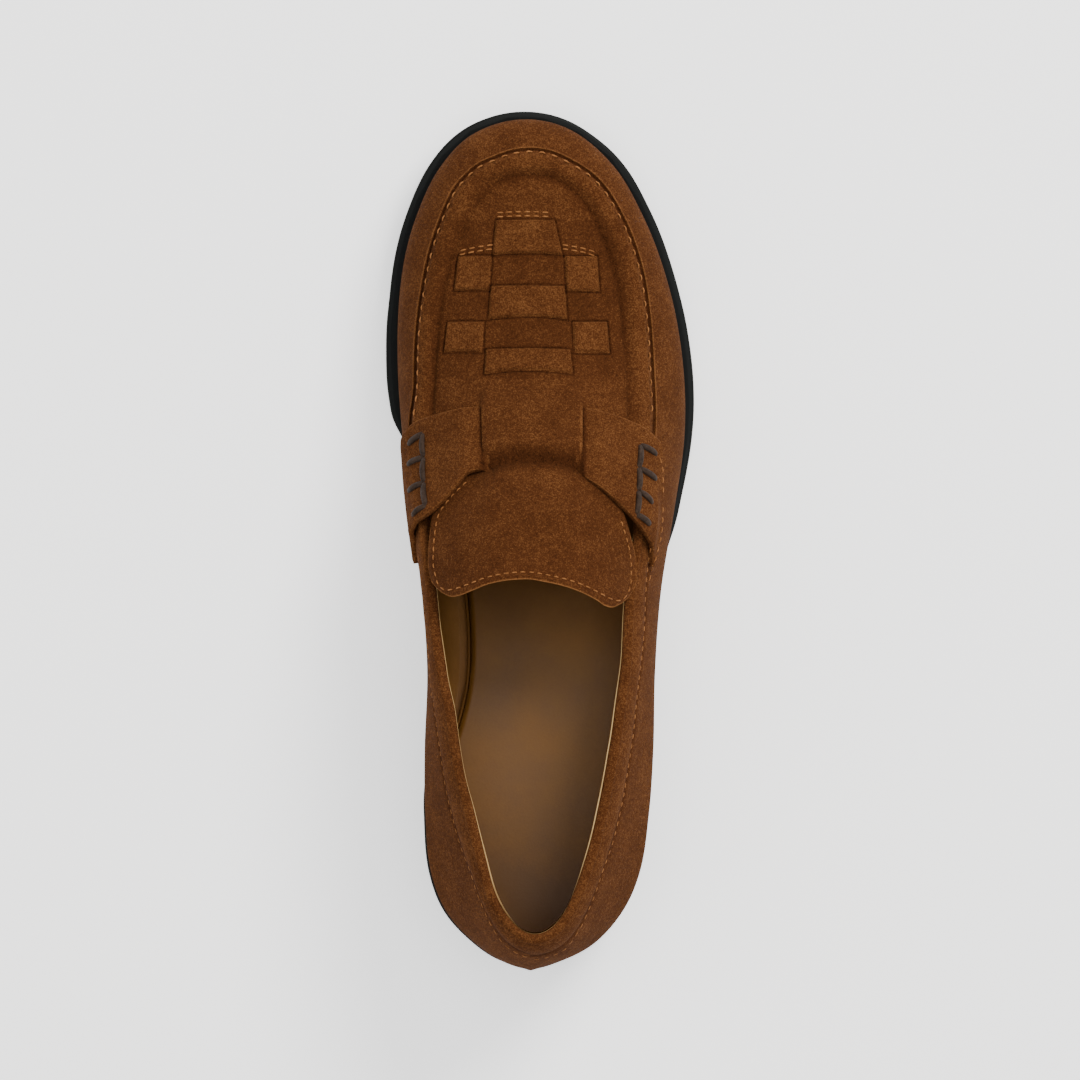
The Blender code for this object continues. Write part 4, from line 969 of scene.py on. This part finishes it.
def makeApron():
    rows, columns = 330, 250
    girths = np.linspace(0.585, 0.9995, rows)
    spread = np.linspace(-1.0, 1.0, columns)
    shares = 0.5 + 0.5 * np.sin(spread * np.pi / 2.0) * 0.45 + 0.5 * spread * 0.55
    base = top.rows(girths, shares)
    normals = gridNormals(base)
    flat = base[:, :, :2].reshape(-1, 2)
    inward, place = nearest(flat, seam)
    inward = np.clip(inward, 0.0, 0.05)
    relief, puff, crease = rollRelief(inward, place, flat)
    x, y = flat[:, 0], flat[:, 1]
    lift, tone, edge = weaveRelief(x, y)
    out = np.abs(x + 0.0026)
    beside = smooth(out, 0.0130, 0.0170)
    under = saddleFrontDrop(x, y) * beside
    rise = apronLook["rise"] * smooth(-y, -0.0510, -0.0415) - apronLook["dip"] * smooth(-y, -0.0405, -0.0370)
    rise = rise * (1.0 - beside)
    waves = apronLook["waves"] * np.sin(x * 330.0 + 1.3) * np.sin(y * 210.0)
    relief = relief + lift + rise + waves
    relief -= 0.0030 * under
    # Painted shade in the crease and along the seam's edge, and a painted highlight on the crown of the roll
    tone += -0.085 * crease + 0.03 * puff - 0.3 * smooth(0.0006 - inward, 0.0, 0.0006)
    grid = base + normals * relief.reshape(rows, columns)[:, :, None]
    grid = grid.reshape(-1, 3)
    # Turned-down rim all round the seam, in painted shade
    skirt = []
    skirtTone = []
    for step in (1, 2, 3):
        for ring in (grid.reshape(rows, columns, 3)[:, 0], grid.reshape(rows, columns, 3)[:, -1]):
            skirt.append(ring + np.array([0.0, 0.0, -0.0006 * step]))
            skirtTone.append(np.full(rows, -0.25))
    points = np.concatenate([grid] + skirt)
    tones = np.concatenate([tone] + skirtTone)
    edges = np.concatenate([edge, np.zeros(len(points) - len(grid))])
    faces = gridFaces(rows, columns)
    start = rows * columns
    for sideIndex, column in ((0, 0), (1, columns - 1)):
        above = [row * columns + column for row in range(rows)]
        for step in range(3):
            below = [start + (step * 2 + sideIndex) * rows + row for row in range(rows)]
            for row in range(rows - 1):
                face = (above[row], above[row + 1], below[row + 1], below[row])
                faces.append(face if sideIndex == 0 else face[::-1])
            above = below
    piece = makeMesh("apronSuede", points, faces, brownSuede, tones, edges)
    return piece


# Front and rear edge of the saddle by reach from the strap's centre, in millimetres
saddleRows = (
    (-54.0, 26.0, -8.0), (-52.0, 29.0, -6.8), (-50.0, 31.5, -4.0), (-48.0, 33.0, -1.2),
    (-46.0, 34.2, 0.8), (-41.2, 36.5, 4.2),
    (-35.6, 37.9, 6.8), (-29.6, 39.3, 11.7), (-25.0, 40.2, 16.3), (-20.8, 40.9, 20.4), (-16.4, 41.5, 21.9),
    (-12.0, 41.6, 21.5), (12.0, 41.6, 20.5), (15.4, 41.3, 20.6), (17.6, 40.8, 19.0), (19.5, 40.2, 17.6),
    (22.9, 39.3, 14.9), (28.2, 37.8, 10.3), (32.3, 36.5, 7.0), (37.6, 34.4, 2.8), (42.0, 32.0, -0.6),
    (44.4, 30.4, -3.0), (47.0, 26.5, -6.0), (49.0, 23.0, -8.3),
)
saddleEdges = table(("reach", "front", "rear"), saddleRows)
reachX = np.linspace(-0.052, 0.048, 101)


def saddleFrontDrop(x, y):
    # 1 where the apron lies under the saddle, 0 ahead of it
    fronts = []
    for reach in reachX:
        front = float(saddleEdges("front", reach / mm)) * mm
        fronts.append(body.line(reach)(front, 0.0)[:2])
    fronts = np.array(fronts)
    order = np.argsort(fronts[:, 0])
    line = np.interp(x, fronts[order, 0], fronts[order, 1])
    return smooth(line - y, -0.0006, 0.0035)


apronPiece = makeApron()
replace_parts(apronPiece, "apron")
print("apron ready")


# Centre strap, saddle wings and tongue

# Centre strap: half its width, its ends, its height over the apron, and the crease across it with the
# painted shade along it
strapLook = {
    "half": 0.0157,
    "front": 0.0440,
    "rear": 0.0120,
    "lift": 0.0015,
    "creaseDepth": 0.0012,
    "creaseAt": 0.0258,
    "creaseBow": 0.0030,
    "creaseShade": 0.20,
    "thickness": 0.0022,
}


def tongueLift(y):
    # Sinks under the strap and stands proud toward the opening
    return mix(-0.0004, 0.0021, smooth(-y, -0.0260, -0.0080))


def strapCreaseAt(share):
    return strapLook["creaseAt"] - strapLook["creaseBow"] * share**2


def strapLift(y, share):
    rise = strapLook["lift"] * smooth(-y, -0.0510, -0.0415) - 0.00025 * smooth(y, 0.0425, 0.0440)
    dip = mix(strapLook["lift"], tongueLift(y), smooth(-y, -0.0300, -0.0235))
    crease = strapLook["creaseDepth"] * bell(y, strapCreaseAt(share), 0.0024)
    over = 0.00012 - 0.0008 * smooth(-y, -0.0180, -0.0120)
    return np.where(y > 0.0300, rise, dip - crease) + over


def makeStrap():
    shares = np.linspace(-1.0, 1.0, 61)
    shares = np.sign(shares) * np.abs(shares) ** 0.8
    ys = np.linspace(strapLook["front"], strapLook["rear"], 90)
    points, tones, edges = [], [], []
    for share in shares:
        reach = share * strapLook["half"]
        line = body.line(reach)
        side = smooth(abs(share), 0.90, 1.0)
        sink = 0.00040 * side + 0.0022 * smooth(abs(share), 0.70, 1.0) * (1.0 - smooth(ys, 0.0200, 0.0245))
        lift = strapLift(ys, share) - sink + 0.00010 * np.sin(ys * 260.0 + share * 3.0)
        points.append(line(ys, lift))
        tones.append(-strapLook["creaseShade"] * bell(ys, strapCreaseAt(share), 0.0028))
        # Painted highlight: the strap's raw side edges are painted lighter over this stretch, fully on the
        # lateral side where the light falls, and weaker on the medial side
        litEdgeSpan = smooth(ys, 0.0225, 0.0250) * (1.0 - smooth(ys, 0.0400, 0.0420))
        edges.append(0.45 * side * (1.0 if share > 0 else 0.35) * litEdgeSpan)
    count = len(ys)
    for share, back in ((-1.0, False), (1.0, True)):
        line = body.line(share * strapLook["half"])
        lift = strapLift(ys, share) - strapLook["thickness"] * (2.0 - smooth(ys, 0.0200, 0.0245))
        rim = line(ys, lift)
        if back:
            points.append(rim)
        else:
            points.insert(0, rim)
        # Painted shade on the strap's cut sides
        tones.insert(0 if not back else len(tones), np.full(count, -0.20))
        edges.insert(0 if not back else len(edges), np.zeros(count))
    grid = np.array(points)
    faces = gridFaces(len(grid), count, flip=False)
    piece = makeMesh("centreStrap", grid.reshape(-1, 3), faces, brownSuede, np.array(tones), np.array(edges))
    return piece


# Saddle wings: thickness, height over the wall, sag between seams, tuck under the strap and bevelled edge
saddleLook = {
    "thickness": 0.0014,
    "lift": 0.0019,
    "bridge": 0.0004,
    "climb": 0.009,
    "over": 0.0019,
    "sag": 0.00025,
    "tuck": 0.0024,
    "bevel": 0.0004,
}


def saddleLift(reach, y):
    out = smooth(abs(reach) - 0.0142, 0.0, saddleLook["climb"])
    over = saddleLook["over"] * smooth(-y, -0.0190, -0.0060) * (1.0 - smooth(abs(reach), 0.040, 0.048))
    bridge = saddleLook["bridge"] * smooth(abs(reach), 0.031, 0.037)
    sag = saddleLook["sag"] * np.sin(y * 190.0 + reach * 140.0)
    tuck = saddleLook["tuck"] * (1.0 - smooth(abs(reach), 0.0143, 0.0166))
    tuck = tuck * (1.0 - smooth(y, 0.0225, 0.0265))
    return mix(0.0001, saddleLook["lift"], out) + over * out + bridge + sag * out - tuck


def makeWing(name, low, high):
    reaches = np.linspace(low, high, 96) * mm
    shares = np.linspace(0.0, 1.0, 110)
    over, tones, edges = [], [], []
    under = []
    for reach in reaches:
        line = body.line(reach)
        rear = float(saddleEdges("rear", reach / mm)) * mm
        front = float(saddleEdges("front", reach / mm)) * mm
        ys = mix(rear, front, shares)
        rim = np.minimum(shares, 1.0 - shares) * (front - rear)
        side = np.minimum(reach - reaches[0], reaches[-1] - reach) * np.ones_like(rim)
        outer = np.minimum(rim, side + (0.0 if abs(reach) > 0.03 else 0.01))
        bevel = saddleLook["bevel"] * (1.0 - smooth(outer, 0.0, 0.0007))
        lift = saddleLift(reach, ys) - bevel
        over.append(line(ys, lift))
        under.append(line(ys, lift - saddleLook["thickness"]))
        # Painted shade on the wing beside the strap's edge
        shade = -0.20 * bell(abs(reach) - 0.0157, 0.0003, 0.0008)
        tones.append(0.02 + shade + 0.0 * ys)
        edges.append(0.35 * (1.0 - smooth(outer, 0.0, 0.00045)))
    rows, columns = len(reaches), len(shares)
    upper, lower = np.array(over), np.array(under)
    loop = [(0, c) for c in range(columns)] + [(r, columns - 1) for r in range(1, rows)]
    loop += [(rows - 1, c) for c in range(columns - 2, -1, -1)] + [(r, 0) for r in range(rows - 2, 0, -1)]
    rimPoints = [lower[r, c] for r, c in loop]
    points = np.concatenate([upper.reshape(-1, 3), np.array(rimPoints)])
    faces = gridFaces(rows, columns)
    start = rows * columns
    ids = [r * columns + c for r, c in loop]
    for i in range(len(ids)):
        j = (i + 1) % len(ids)
        faces.append((ids[j], ids[i], start + i, start + j))
    # Painted shade on the wing's cut sides
    tones = np.concatenate([np.array(tones).ravel(), np.full(len(ids), -0.12)])
    edges = np.concatenate([np.array(edges).ravel(), np.full(len(ids), 0.3)])
    piece = makeMesh(name, points, faces, brownSuede, tones, edges, sharp=55)
    return piece


# Side edges of the tongue by y, in millimetres
tongueSides = table(
    ("y", "medial", "lateral"),
    (
        (-21.0, -29.0, 26.2), (-19.6, -29.6, 27.2), (-17.5, -31.4, 28.4), (-14.9, -32.9, 29.4),
        (-11.6, -34.0, 29.9), (-8.1, -34.8, 29.9),
        (-3.6, -34.7, 29.4), (0.2, -34.4, 28.4), (7.3, -33.4, 26.3), (13.8, -29.1, 22.5),
        (21.0, -22.8, 18.5), (30.0, -16.0, 12.5),
    ),
)
tongueRear = table(
    ("share", "y"),
    (
        (0.000, -13.0), (0.015, -15.0), (0.035, -16.6), (0.070, -17.6), (0.110, -17.2), (0.190, -15.6),
        (0.280, -13.6),
        (0.370, -12.5), (0.465, -12.1), (0.560, -13.0), (0.660, -14.5), (0.740, -16.3), (0.820, -18.5),
        (0.885, -20.4),
        (0.925, -20.9), (0.960, -19.9), (0.985, -17.9), (1.000, -14.0),
    ),
)


# Tongue: thickness, bevelled edge, dimple along its seam, and how far its sides and its end dip
tongueLook = {
    "thickness": 0.0016,
    "bevel": 0.00055,
    "seamDimple": 0.00022,
    "waves": 0.00018,
    "sides": 0.0015,
    "underStrap": 0.0022,
}


def makeTongue():
    rows, columns = 120, 130
    columnsAt = 0.5 - 0.5 * np.cos(np.linspace(0.0, np.pi, columns))
    over, under, tones, edges = [], [], [], []
    for share in np.linspace(0.0, 1.0, rows):
        for column in columnsAt:
            rear = float(tongueRear("y", column)) * mm
            y = mix(0.0280, rear, share)
            left = float(tongueSides("medial", y / mm)) * mm
            right = float(tongueSides("lateral", y / mm)) * mm
            x = mix(left, right, column)
            border = min(y - rear, x - left, right - x)
            if y > 0.004:
                border = min(y - rear, 0.01)
            bevel = tongueLook["bevel"] * (1.0 - float(smooth(border, 0.0, 0.0011)))
            dimple = tongueLook["seamDimple"] * float(bell(border, 0.0019, 0.0005))
            ground = top.height(x, y)
            wave = tongueLook["waves"] * math.sin(x * 240.0) * math.sin(y * 170.0 + 0.6)
            aside = float(smooth(abs(x + 0.0026), 0.0125, 0.0185) * smooth(y, 0.0020, 0.0190))
            lift = float(tongueLift(y)) - tongueLook["sides"] * aside
            lift -= tongueLook["underStrap"] * float(smooth(y, 0.0190, 0.0225))
            over.append((x, y, ground + lift - bevel - dimple + wave))
            under.append((x, y, ground + lift - tongueLook["thickness"]))
            # Painted shade across the tongue where it runs under the strap's end
            tones.append(-0.05 * float(bell(y, 0.0235, 0.004)) - 0.02)
            atRear = 1.8 if y - rear < 0.0005 else 0.55
            edges.append(atRear * (1.0 - float(smooth(border, 0.0, 0.0005))))
    upper, lower = np.array(over), np.array(under)
    faces = gridFaces(rows, columns, flip=True)
    points = np.concatenate([upper, lower])
    count = rows * columns
    for row in range(rows - 1):
        for column in (0, columns - 1):
            here, there = row * columns + column, (row + 1) * columns + column
            face = (here, there, there + count, here + count)
            faces.append(face if column == 0 else face[::-1])
    for column in range(columns - 1):
        here = (rows - 1) * columns + column
        faces.append((here, here + 1, here + 1 + count, here + count))
    for row in range(rows - 1):
        for column in range(columns - 1):
            here = count + row * columns + column
            faces.append((here, here + 1, here + columns + 1, here + columns))
    # Painted shade on the underside
    tones = np.concatenate([tones, np.full(count, -0.15)])
    edges = np.concatenate([edges, np.zeros(count)])
    piece = makeMesh("tongueSuede", points, faces, brownSuede, tones, edges, sharp=60)
    return piece


strapPiece = makeStrap()
medialWing = makeWing("saddleWingMedial", -52.5, -13.8)
lateralWing = makeWing("saddleWingLateral", 13.8, 49.0)
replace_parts(lateralWing, "saddle")
tonguePiece = makeTongue()
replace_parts(tonguePiece, "tongue")
print("strap, saddle and tongue ready")


# Insole: height over the sole, its hollow, and the shade in the heel and along the sides
insoleLook = {"level": 0.00466, "dish": 0.0006, "heelShade": 0.34, "sideShade": 0.12}


def makeInsole():
    ring = ringOrder(150)
    points, tones = [], []
    levels = ((0.0, 2.5), (0.0, 4.0), (0.10, 4.42), (0.3, 4.58), (0.6, 4.64), (1.2, 4.66))
    for side, girth in ring:
        wall = Wall(side, girth)
        edge = wall.footIn + wallSizes["thickness"] + wallSizes["seatGap"]
        for inset, up in levels:
            plan = wall.place + wall.normal * (edge + inset * mm)
            points.append(np.array([plan[0], plan[1], float(soleTop(plan[1])) + up * mm]))
            # Painted shade round the rim along the walls
            tones.append(-0.06)
    count = len(levels)
    faces = gridFaces(len(ring), count, closed=True)
    half = 150
    columns = 24
    start = len(points)
    for row in range(1, half):
        left = points[(2 * half - row) * count + count - 1]
        right = points[row * count + count - 1]
        for share in np.linspace(0.0, 1.0, columns + 2)[1:-1]:
            place = mix(left, right, share)
            level = float(soleTop(place[1])) + insoleLook["level"]
            level -= insoleLook["dish"] * math.sin(math.pi * share)
            points.append(np.array([place[0], place[1], level]))
            heelShade = insoleLook["heelShade"] * float(smooth(-place[1], 0.070, 0.118))
            tones.append(-heelShade - insoleLook["sideShade"] * float(smooth(share, 0.75, 1.0)))
    lines = [[count - 1]]
    for row in range(1, half):
        inner = [start + (row - 1) * columns + column for column in range(columns)]
        lines.append([(2 * half - row) * count + count - 1] + inner + [row * count + count - 1])
    lines.append([half * count + count - 1])
    for row, ahead in zip(lines, lines[1:]):
        if len(row) == 1:
            faces += [(row[0], right, left) for left, right in zip(ahead, ahead[1:])]
        elif len(ahead) == 1:
            faces += [(left, right, ahead[0]) for left, right in zip(row, row[1:])]
        else:
            faces += [tuple(corners) for corners in zip(row, row[1:], ahead[1:], ahead)]
    piece = makeMesh("insoleLeather", points, faces, insoleTan, tones)
    return piece


def makeSole():
    ring = ringOrder(260)
    w, g = sole["welt"], sole["groove"]
    profile = (
        (3.2 * mm, True, -0.0001), (0.9 * mm, True, 0.0), (0.35 * mm, True, -0.0002),
        (0.10 * mm, True, -0.0006), (0.0, True, -0.0012),
        (0.0, True, -0.6 * w), (0.0, True, -w + 0.0004), (0.15 * mm, True, -w), (g, True, -w - 0.0002),
        (g, True, -w - 0.0012),
        (0.5 * mm, True, -w - 0.0014), (0.4 * mm, True, -w - 0.0019), (0.4 * mm, False, 0.0040),
        (0.4 * mm, False, 0.0016),
        (0.9 * mm, False, 0.0005), (1.6 * mm, False, 0.0),
    )
    points, tones = [], []
    for side, girth in ring:
        place, normal = sidePoint(side, girth)
        reach = sole["edge"] * float(margins(side, girth))
        reach -= last["archTuck"] * float(margins(side + "Tuck", girth))
        place = place - normal * reach
        for inset, fromTop, height in profile:
            plan = place + normal * (inset - 0.0004)
            level = soleTop(plan[1]) if fromTop else soleUnder(plan[1])
            points.append(np.array([plan[0], plan[1], float(level) + height]))
            tones.append(0.30 if inset > 0.8 * mm and fromTop and height > -0.001 else 0.0)
    faces = gridFaces(len(ring), len(profile), closed=True, flip=True)
    piece = makeMesh("soleSide", points, faces, rubberBlack, tones, sharp=50)
    return piece


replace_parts(makeInsole(), "insole")
makeSole()
treadSlots = bpy.data.objects["outsole"].material_slots
for index in range(len(treadSlots)):
    treadSlots[index].material = rubberBlack
print("insole and sole ready")


# Stitches and lacing



def treeOf(pieces):
    points, faces = [], []
    for piece in pieces:
        start = len(points)
        points += [vertex.co.copy() for vertex in piece.data.vertices]
        faces += [[start + index for index in face.vertices] for face in piece.data.polygons]
    return BVHTree.FromPolygons(points, faces)


def onTop(tree, x, y):
    hit = tree.ray_cast(Vector((x, y, 0.2)), Vector((0.0, 0.0, -1.0)))
    if hit[0] is None:
        return None, None
    return hit[0], (hit[1] if hit[1].z > 0.0 else -hit[1])


def tube(points, faces, path, radii, normals, sides=7, flat=0.8):
    # Round bar along a short path, closed at both ends
    start = len(points)
    count = len(path)
    for index, (place, radius, normal) in enumerate(zip(path, radii, normals)):
        before, after = path[max(index - 1, 0)], path[min(index + 1, count - 1)]
        ahead = (after - before).normalized()
        across = ahead.cross(normal).normalized()
        upward = across.cross(ahead)
        for turn in range(sides):
            angle = 2.0 * math.pi * turn / sides
            out, up = math.cos(angle) * radius, math.sin(angle) * radius * flat
            points.append(place + across * out + upward * up)
    for index in range(count - 1):
        for turn in range(sides):
            after = (turn + 1) % sides
            here = start + index * sides
            faces.append((here + turn, here + after, here + sides + after, here + sides + turn))
    faces.append(tuple(start + turn for turn in range(sides))[::-1])
    faces.append(tuple(start + (count - 1) * sides + turn for turn in range(sides)))


def stitchAlong(points, faces, first, second, normal, radius, rise, sink=0.00025):
    path, radii, normals = [], [], []
    for share in np.linspace(0.0, 1.0, 7):
        arch = math.sin(math.pi * share)
        path.append(first.lerp(second, share) + normal * (rise * arch**0.6 - sink * (1.0 - arch**0.5)))
        radii.append(radius * (0.75 + 0.25 * arch))
        normals.append(normal)
    tube(points, faces, path, radii, normals)


def softLine(rows):
    keys = lengthsAlong(np.array(rows))
    even = np.linspace(0.0, keys[-1], 40 * len(rows))
    curves = [curveThrough(list(keys), [row[axis] * mm for row in rows], even) for axis in (0, 1)]
    return np.stack(curves, axis=1)


def seamStitches(points, faces, tree, line, pitch, visible, radius, rise, start=0.0):
    # Bars along a seam; one that would hang between two pieces is left out
    line = np.asarray(line, float)
    lengths = lengthsAlong(line)
    at = start
    while at + visible < lengths[-1]:
        ends = []
        for place in (at, at + visible):
            ends.append([float(np.interp(place, lengths, line[:, axis])) for axis in (0, 1)])
        first, second = onTop(tree, *ends[0])[0], onTop(tree, *ends[1])[0]
        middle, normal = onTop(tree, (ends[0][0] + ends[1][0]) / 2.0, (ends[0][1] + ends[1][1]) / 2.0)
        whole = None not in (first, second, middle)
        if whole and (second - first).length < 2.5 * visible:
            swell = max(0.0, (middle - (first + second) / 2.0).dot(normal))
            stitchAlong(points, faces, first, second, normal, radius, rise + swell)
        at += pitch


def threadPiece(name, points, faces, material):
    piece = makeMesh(name, [tuple(point) for point in points], faces, material)
    return piece


surfaces = treeOf([upperPiece, apronPiece, strapPiece, medialWing, lateralWing, tonguePiece])

# Moccasin seam: one stitch to each scallop, from the wall over the groove into the roll
points, faces = [], []
lengths = lengthsAlong(seam)
stitch = 0.0
while stitch < lengths[-1]:
    index = int(np.searchsorted(lengths, stitch))
    index = min(max(index, 1), len(seam) - 2)
    place = seam[index]
    ahead = seam[index + 1] - seam[index - 1]
    ahead /= np.linalg.norm(ahead)
    inwardWay = np.array([-ahead[1], ahead[0]])
    start = place + inwardWay * 0.0006 - ahead * 0.0010
    end = place + inwardWay * 0.0006 + ahead * 0.0010
    first, firstNormal = onTop(surfaces, *start)
    second, secondNormal = onTop(surfaces, *end)
    if first is not None and second is not None and place[1] > 0.0385:
        upward = (firstNormal + secondNormal).normalized()
        stitchAlong(points, faces, first, second, upward, 0.00030, 0.00022)
    stitch += seamLook["pitch"]
threadPiece("moccasinStitches", points, faces, threadTan)

# Rows of stitches round the weave slits and on the strap
points, faces = [], []
rowsOfStitches = (
    ((-13.4, 101.8), (-5.0, 102.1), (3.8, 101.8)),
    ((-13.4, 100.5), (-5.0, 100.8), (3.8, 100.5)),
    ((-24.9, 89.9), (-19.6, 91.1), (-14.4, 91.8)),
    ((-25.2, 88.7), (-19.6, 89.8), (-14.6, 90.5)),
    ((6.8, 91.8), (12.4, 90.9), (18.0, 89.3)),
    ((6.8, 90.5), (12.4, 89.7), (18.2, 88.1)),
)
for row in rowsOfStitches:
    seamStitches(points, faces, surfaces, softLine(row), 0.0028, 0.0019, 0.00025, 0.00018, start=0.0001)
threadPiece("weaveStitches", points, faces, threadTan)

# Tongue edge, in from the rim
tongueEdge = (
    (-22.8, 18.0), (-28.0, 12.8), (-31.7, 7.0), (-33.0, -3.3), (-33.1, -6.9), (-32.3, -11.2),
    (-31.4, -14.0),
    (-29.2, -15.6), (-26.2, -15.1), (-21.7, -13.5), (-16.2, -11.5), (-11.0, -10.4), (-5.4, -9.9),
    (-2.6, -10.0), (2.2, -10.8),
    (9.0, -12.4), (14.0, -14.2), (18.4, -16.4), (22.4, -18.4), (24.6, -18.9), (26.0, -18.2),
    (27.0, -16.8), (28.1, -13.3),
    (28.2, -8.1), (27.8, -3.9), (26.8, 0.2), (24.8, 7.0),
)
points, faces = [], []
seamStitches(points, faces, surfaces, softLine(tongueEdge), 0.0026, 0.0016, 0.00023, 0.00016)
threadPiece("tongueStitches", points, faces, threadTan)

# Collar band
points, faces = [], []
for side in ("lateral", "medial"):
    line = []
    for girth in np.linspace(0.0, 0.487, 300):
        wall = Wall(side, girth)
        up = min(bandUpAt(side, girth), wall.shoulderUp - 0.0015)
        line.append(wall.place + wall.normal * wall.inset(up))
    seamStitches(points, faces, surfaces, np.array(line), 0.00305, 0.0019, 0.00020, 0.00002, start=0.001)
threadPiece("collarStitches", points, faces, threadTan)

# Outer edge of the lateral saddle wing
points, faces = [], []
wingSeam = ((37.1, 25.7), (38.1, 21.6), (38.2, 12.3), (37.8, 3.0), (36.5, -3.3), (34.6, -9.5), (33.1, -15.7))
seamStitches(points, faces, surfaces, softLine(wingSeam), 0.0031, 0.0020, 0.00024, 0.00015)
threadPiece("wingStitches", points, faces, threadTan)
print("stitches ready")

# Side lacing: the chain's own knots, and where each knot's short tail dives in, in millimetres
laceLook = {"radius": 0.00100, "rise": 0.0005, "dive": 0.0009}
laceRows = {
    "lateral": (
        ((31.3, 29.5), (30.8, 22.4), (30.7, 15.3), (30.1, 8.0)),
        ((36.4, 26.6), (36.4, 18.8), (35.1, 11.5), (34.3, 4.8)),
    ),
    "medial": (
        ((-36.5, 33.1), (-36.2, 25.7), (-36.2, 17.8), (-35.6, 10.7)),
        ((-41.2, 29.7), (-41.4, 23.5), (-41.2, 15.2), (-39.8, 7.7)),
    ),
}
points, faces = [], []
for knots, tails in laceRows.values():
    for first, second in list(zip(knots, knots[1:])) + list(zip(knots, tails)):
        path, normals, radii = [], [], []
        for share in np.linspace(0.0, 1.0, 13):
            x, y = mix(first[0], second[0], share) * mm, mix(first[1], second[1], share) * mm
            place, normal = onTop(surfaces, x, y)
            if place is None:
                continue
            arch = math.sin(math.pi * share) ** 0.5
            path.append(place + normal * (laceLook["rise"] * arch - laceLook["dive"] * (1.0 - arch)))
            normals.append(normal)
            radii.append(laceLook["radius"] * (0.86 + 0.14 * arch))
        if len(path) > 3:
            tube(points, faces, path, radii, normals, sides=10, flat=0.75)
threadPiece("sideLacing", points, faces, laceDark)
print("lacing ready")


# Floor, lights and camera
studio = {
    "floorLevel": -0.0002,
    "floorHalf": 6.0,
    "floorGlow": 0.90,
    "skyGlow": 0.65,
    "lens": 800.0,
    "cameraHeight": 7.504,
    "aim": (0.0, 0.0, 0.03),
}

# Lamps: place, width, power and colour
lamps = {
    "keyLight": ((0.70, 0.90, 1.25), 0.7, 30.0, (1.0, 0.98, 0.95)),
    "fillLight": ((-1.1, -0.3, 1.3), 1.6, 3.5, (0.96, 0.98, 1.0)),
    "topLight": ((0.0, 0.0, 2.2), 1.6, 21.0, (1.0, 1.0, 1.0)),
}


def makeFloor():
    mesh = bpy.data.meshes.new("floorSheet")
    half, level = studio["floorHalf"], studio["floorLevel"]
    corners = [(-half, -half, level), (half, -half, level), (half, half, level), (-half, half, level)]
    mesh.from_pydata(corners, [], [(0, 1, 2, 3)])
    floor = bpy.data.objects.new("floorSheet", mesh)
    bpy.context.scene.collection.objects.link(floor)
    material, nodes, links, shader = newMaterial("paleFloor")
    shader.inputs["Base Color"].default_value = (0.96, 0.96, 0.96, 1.0)
    shader.inputs["Emission Color"].default_value = (1.0, 1.0, 1.0, 1.0)
    shader.inputs["Emission Strength"].default_value = studio["floorGlow"]
    shader.inputs["Roughness"].default_value = 0.9
    shader.inputs["Specular IOR Level"].default_value = 0.1
    mesh.materials.append(material)


def areaLight(name, place, size, power, colour):
    light = bpy.data.lights.new(name, "AREA")
    light.shape = "DISK"
    light.size = size
    light.energy = power
    light.color = colour
    lamp = bpy.data.objects.new(name, light)
    lamp.location = place
    lamp.rotation_euler = (Vector(studio["aim"]) - Vector(place)).to_track_quat("-Z", "Y").to_euler()
    bpy.context.scene.collection.objects.link(lamp)


makeFloor()
for name, (place, size, power, colour) in lamps.items():
    areaLight(name, place, size, power, colour)
world = bpy.data.worlds.new("studioWorld")
world.use_nodes = True
background = world.node_tree.nodes["Background"]
background.inputs["Color"].default_value = (1.0, 1.0, 1.0, 1.0)
background.inputs["Strength"].default_value = studio["skyGlow"]
bpy.context.scene.world = world

cameraData = bpy.data.cameras.new("cameraAbove")
cameraData.sensor_width = 36.0
cameraData.lens = studio["lens"]
cameraData.clip_start = 0.05
cameraData.clip_end = 60.0
camera = bpy.data.objects.new("cameraAbove", cameraData)
camera.location = (0.0, 0.0, studio["cameraHeight"])
camera.rotation_euler = (0.0, 0.0, 0.0)
bpy.context.scene.collection.objects.link(camera)
bpy.context.scene.camera = camera
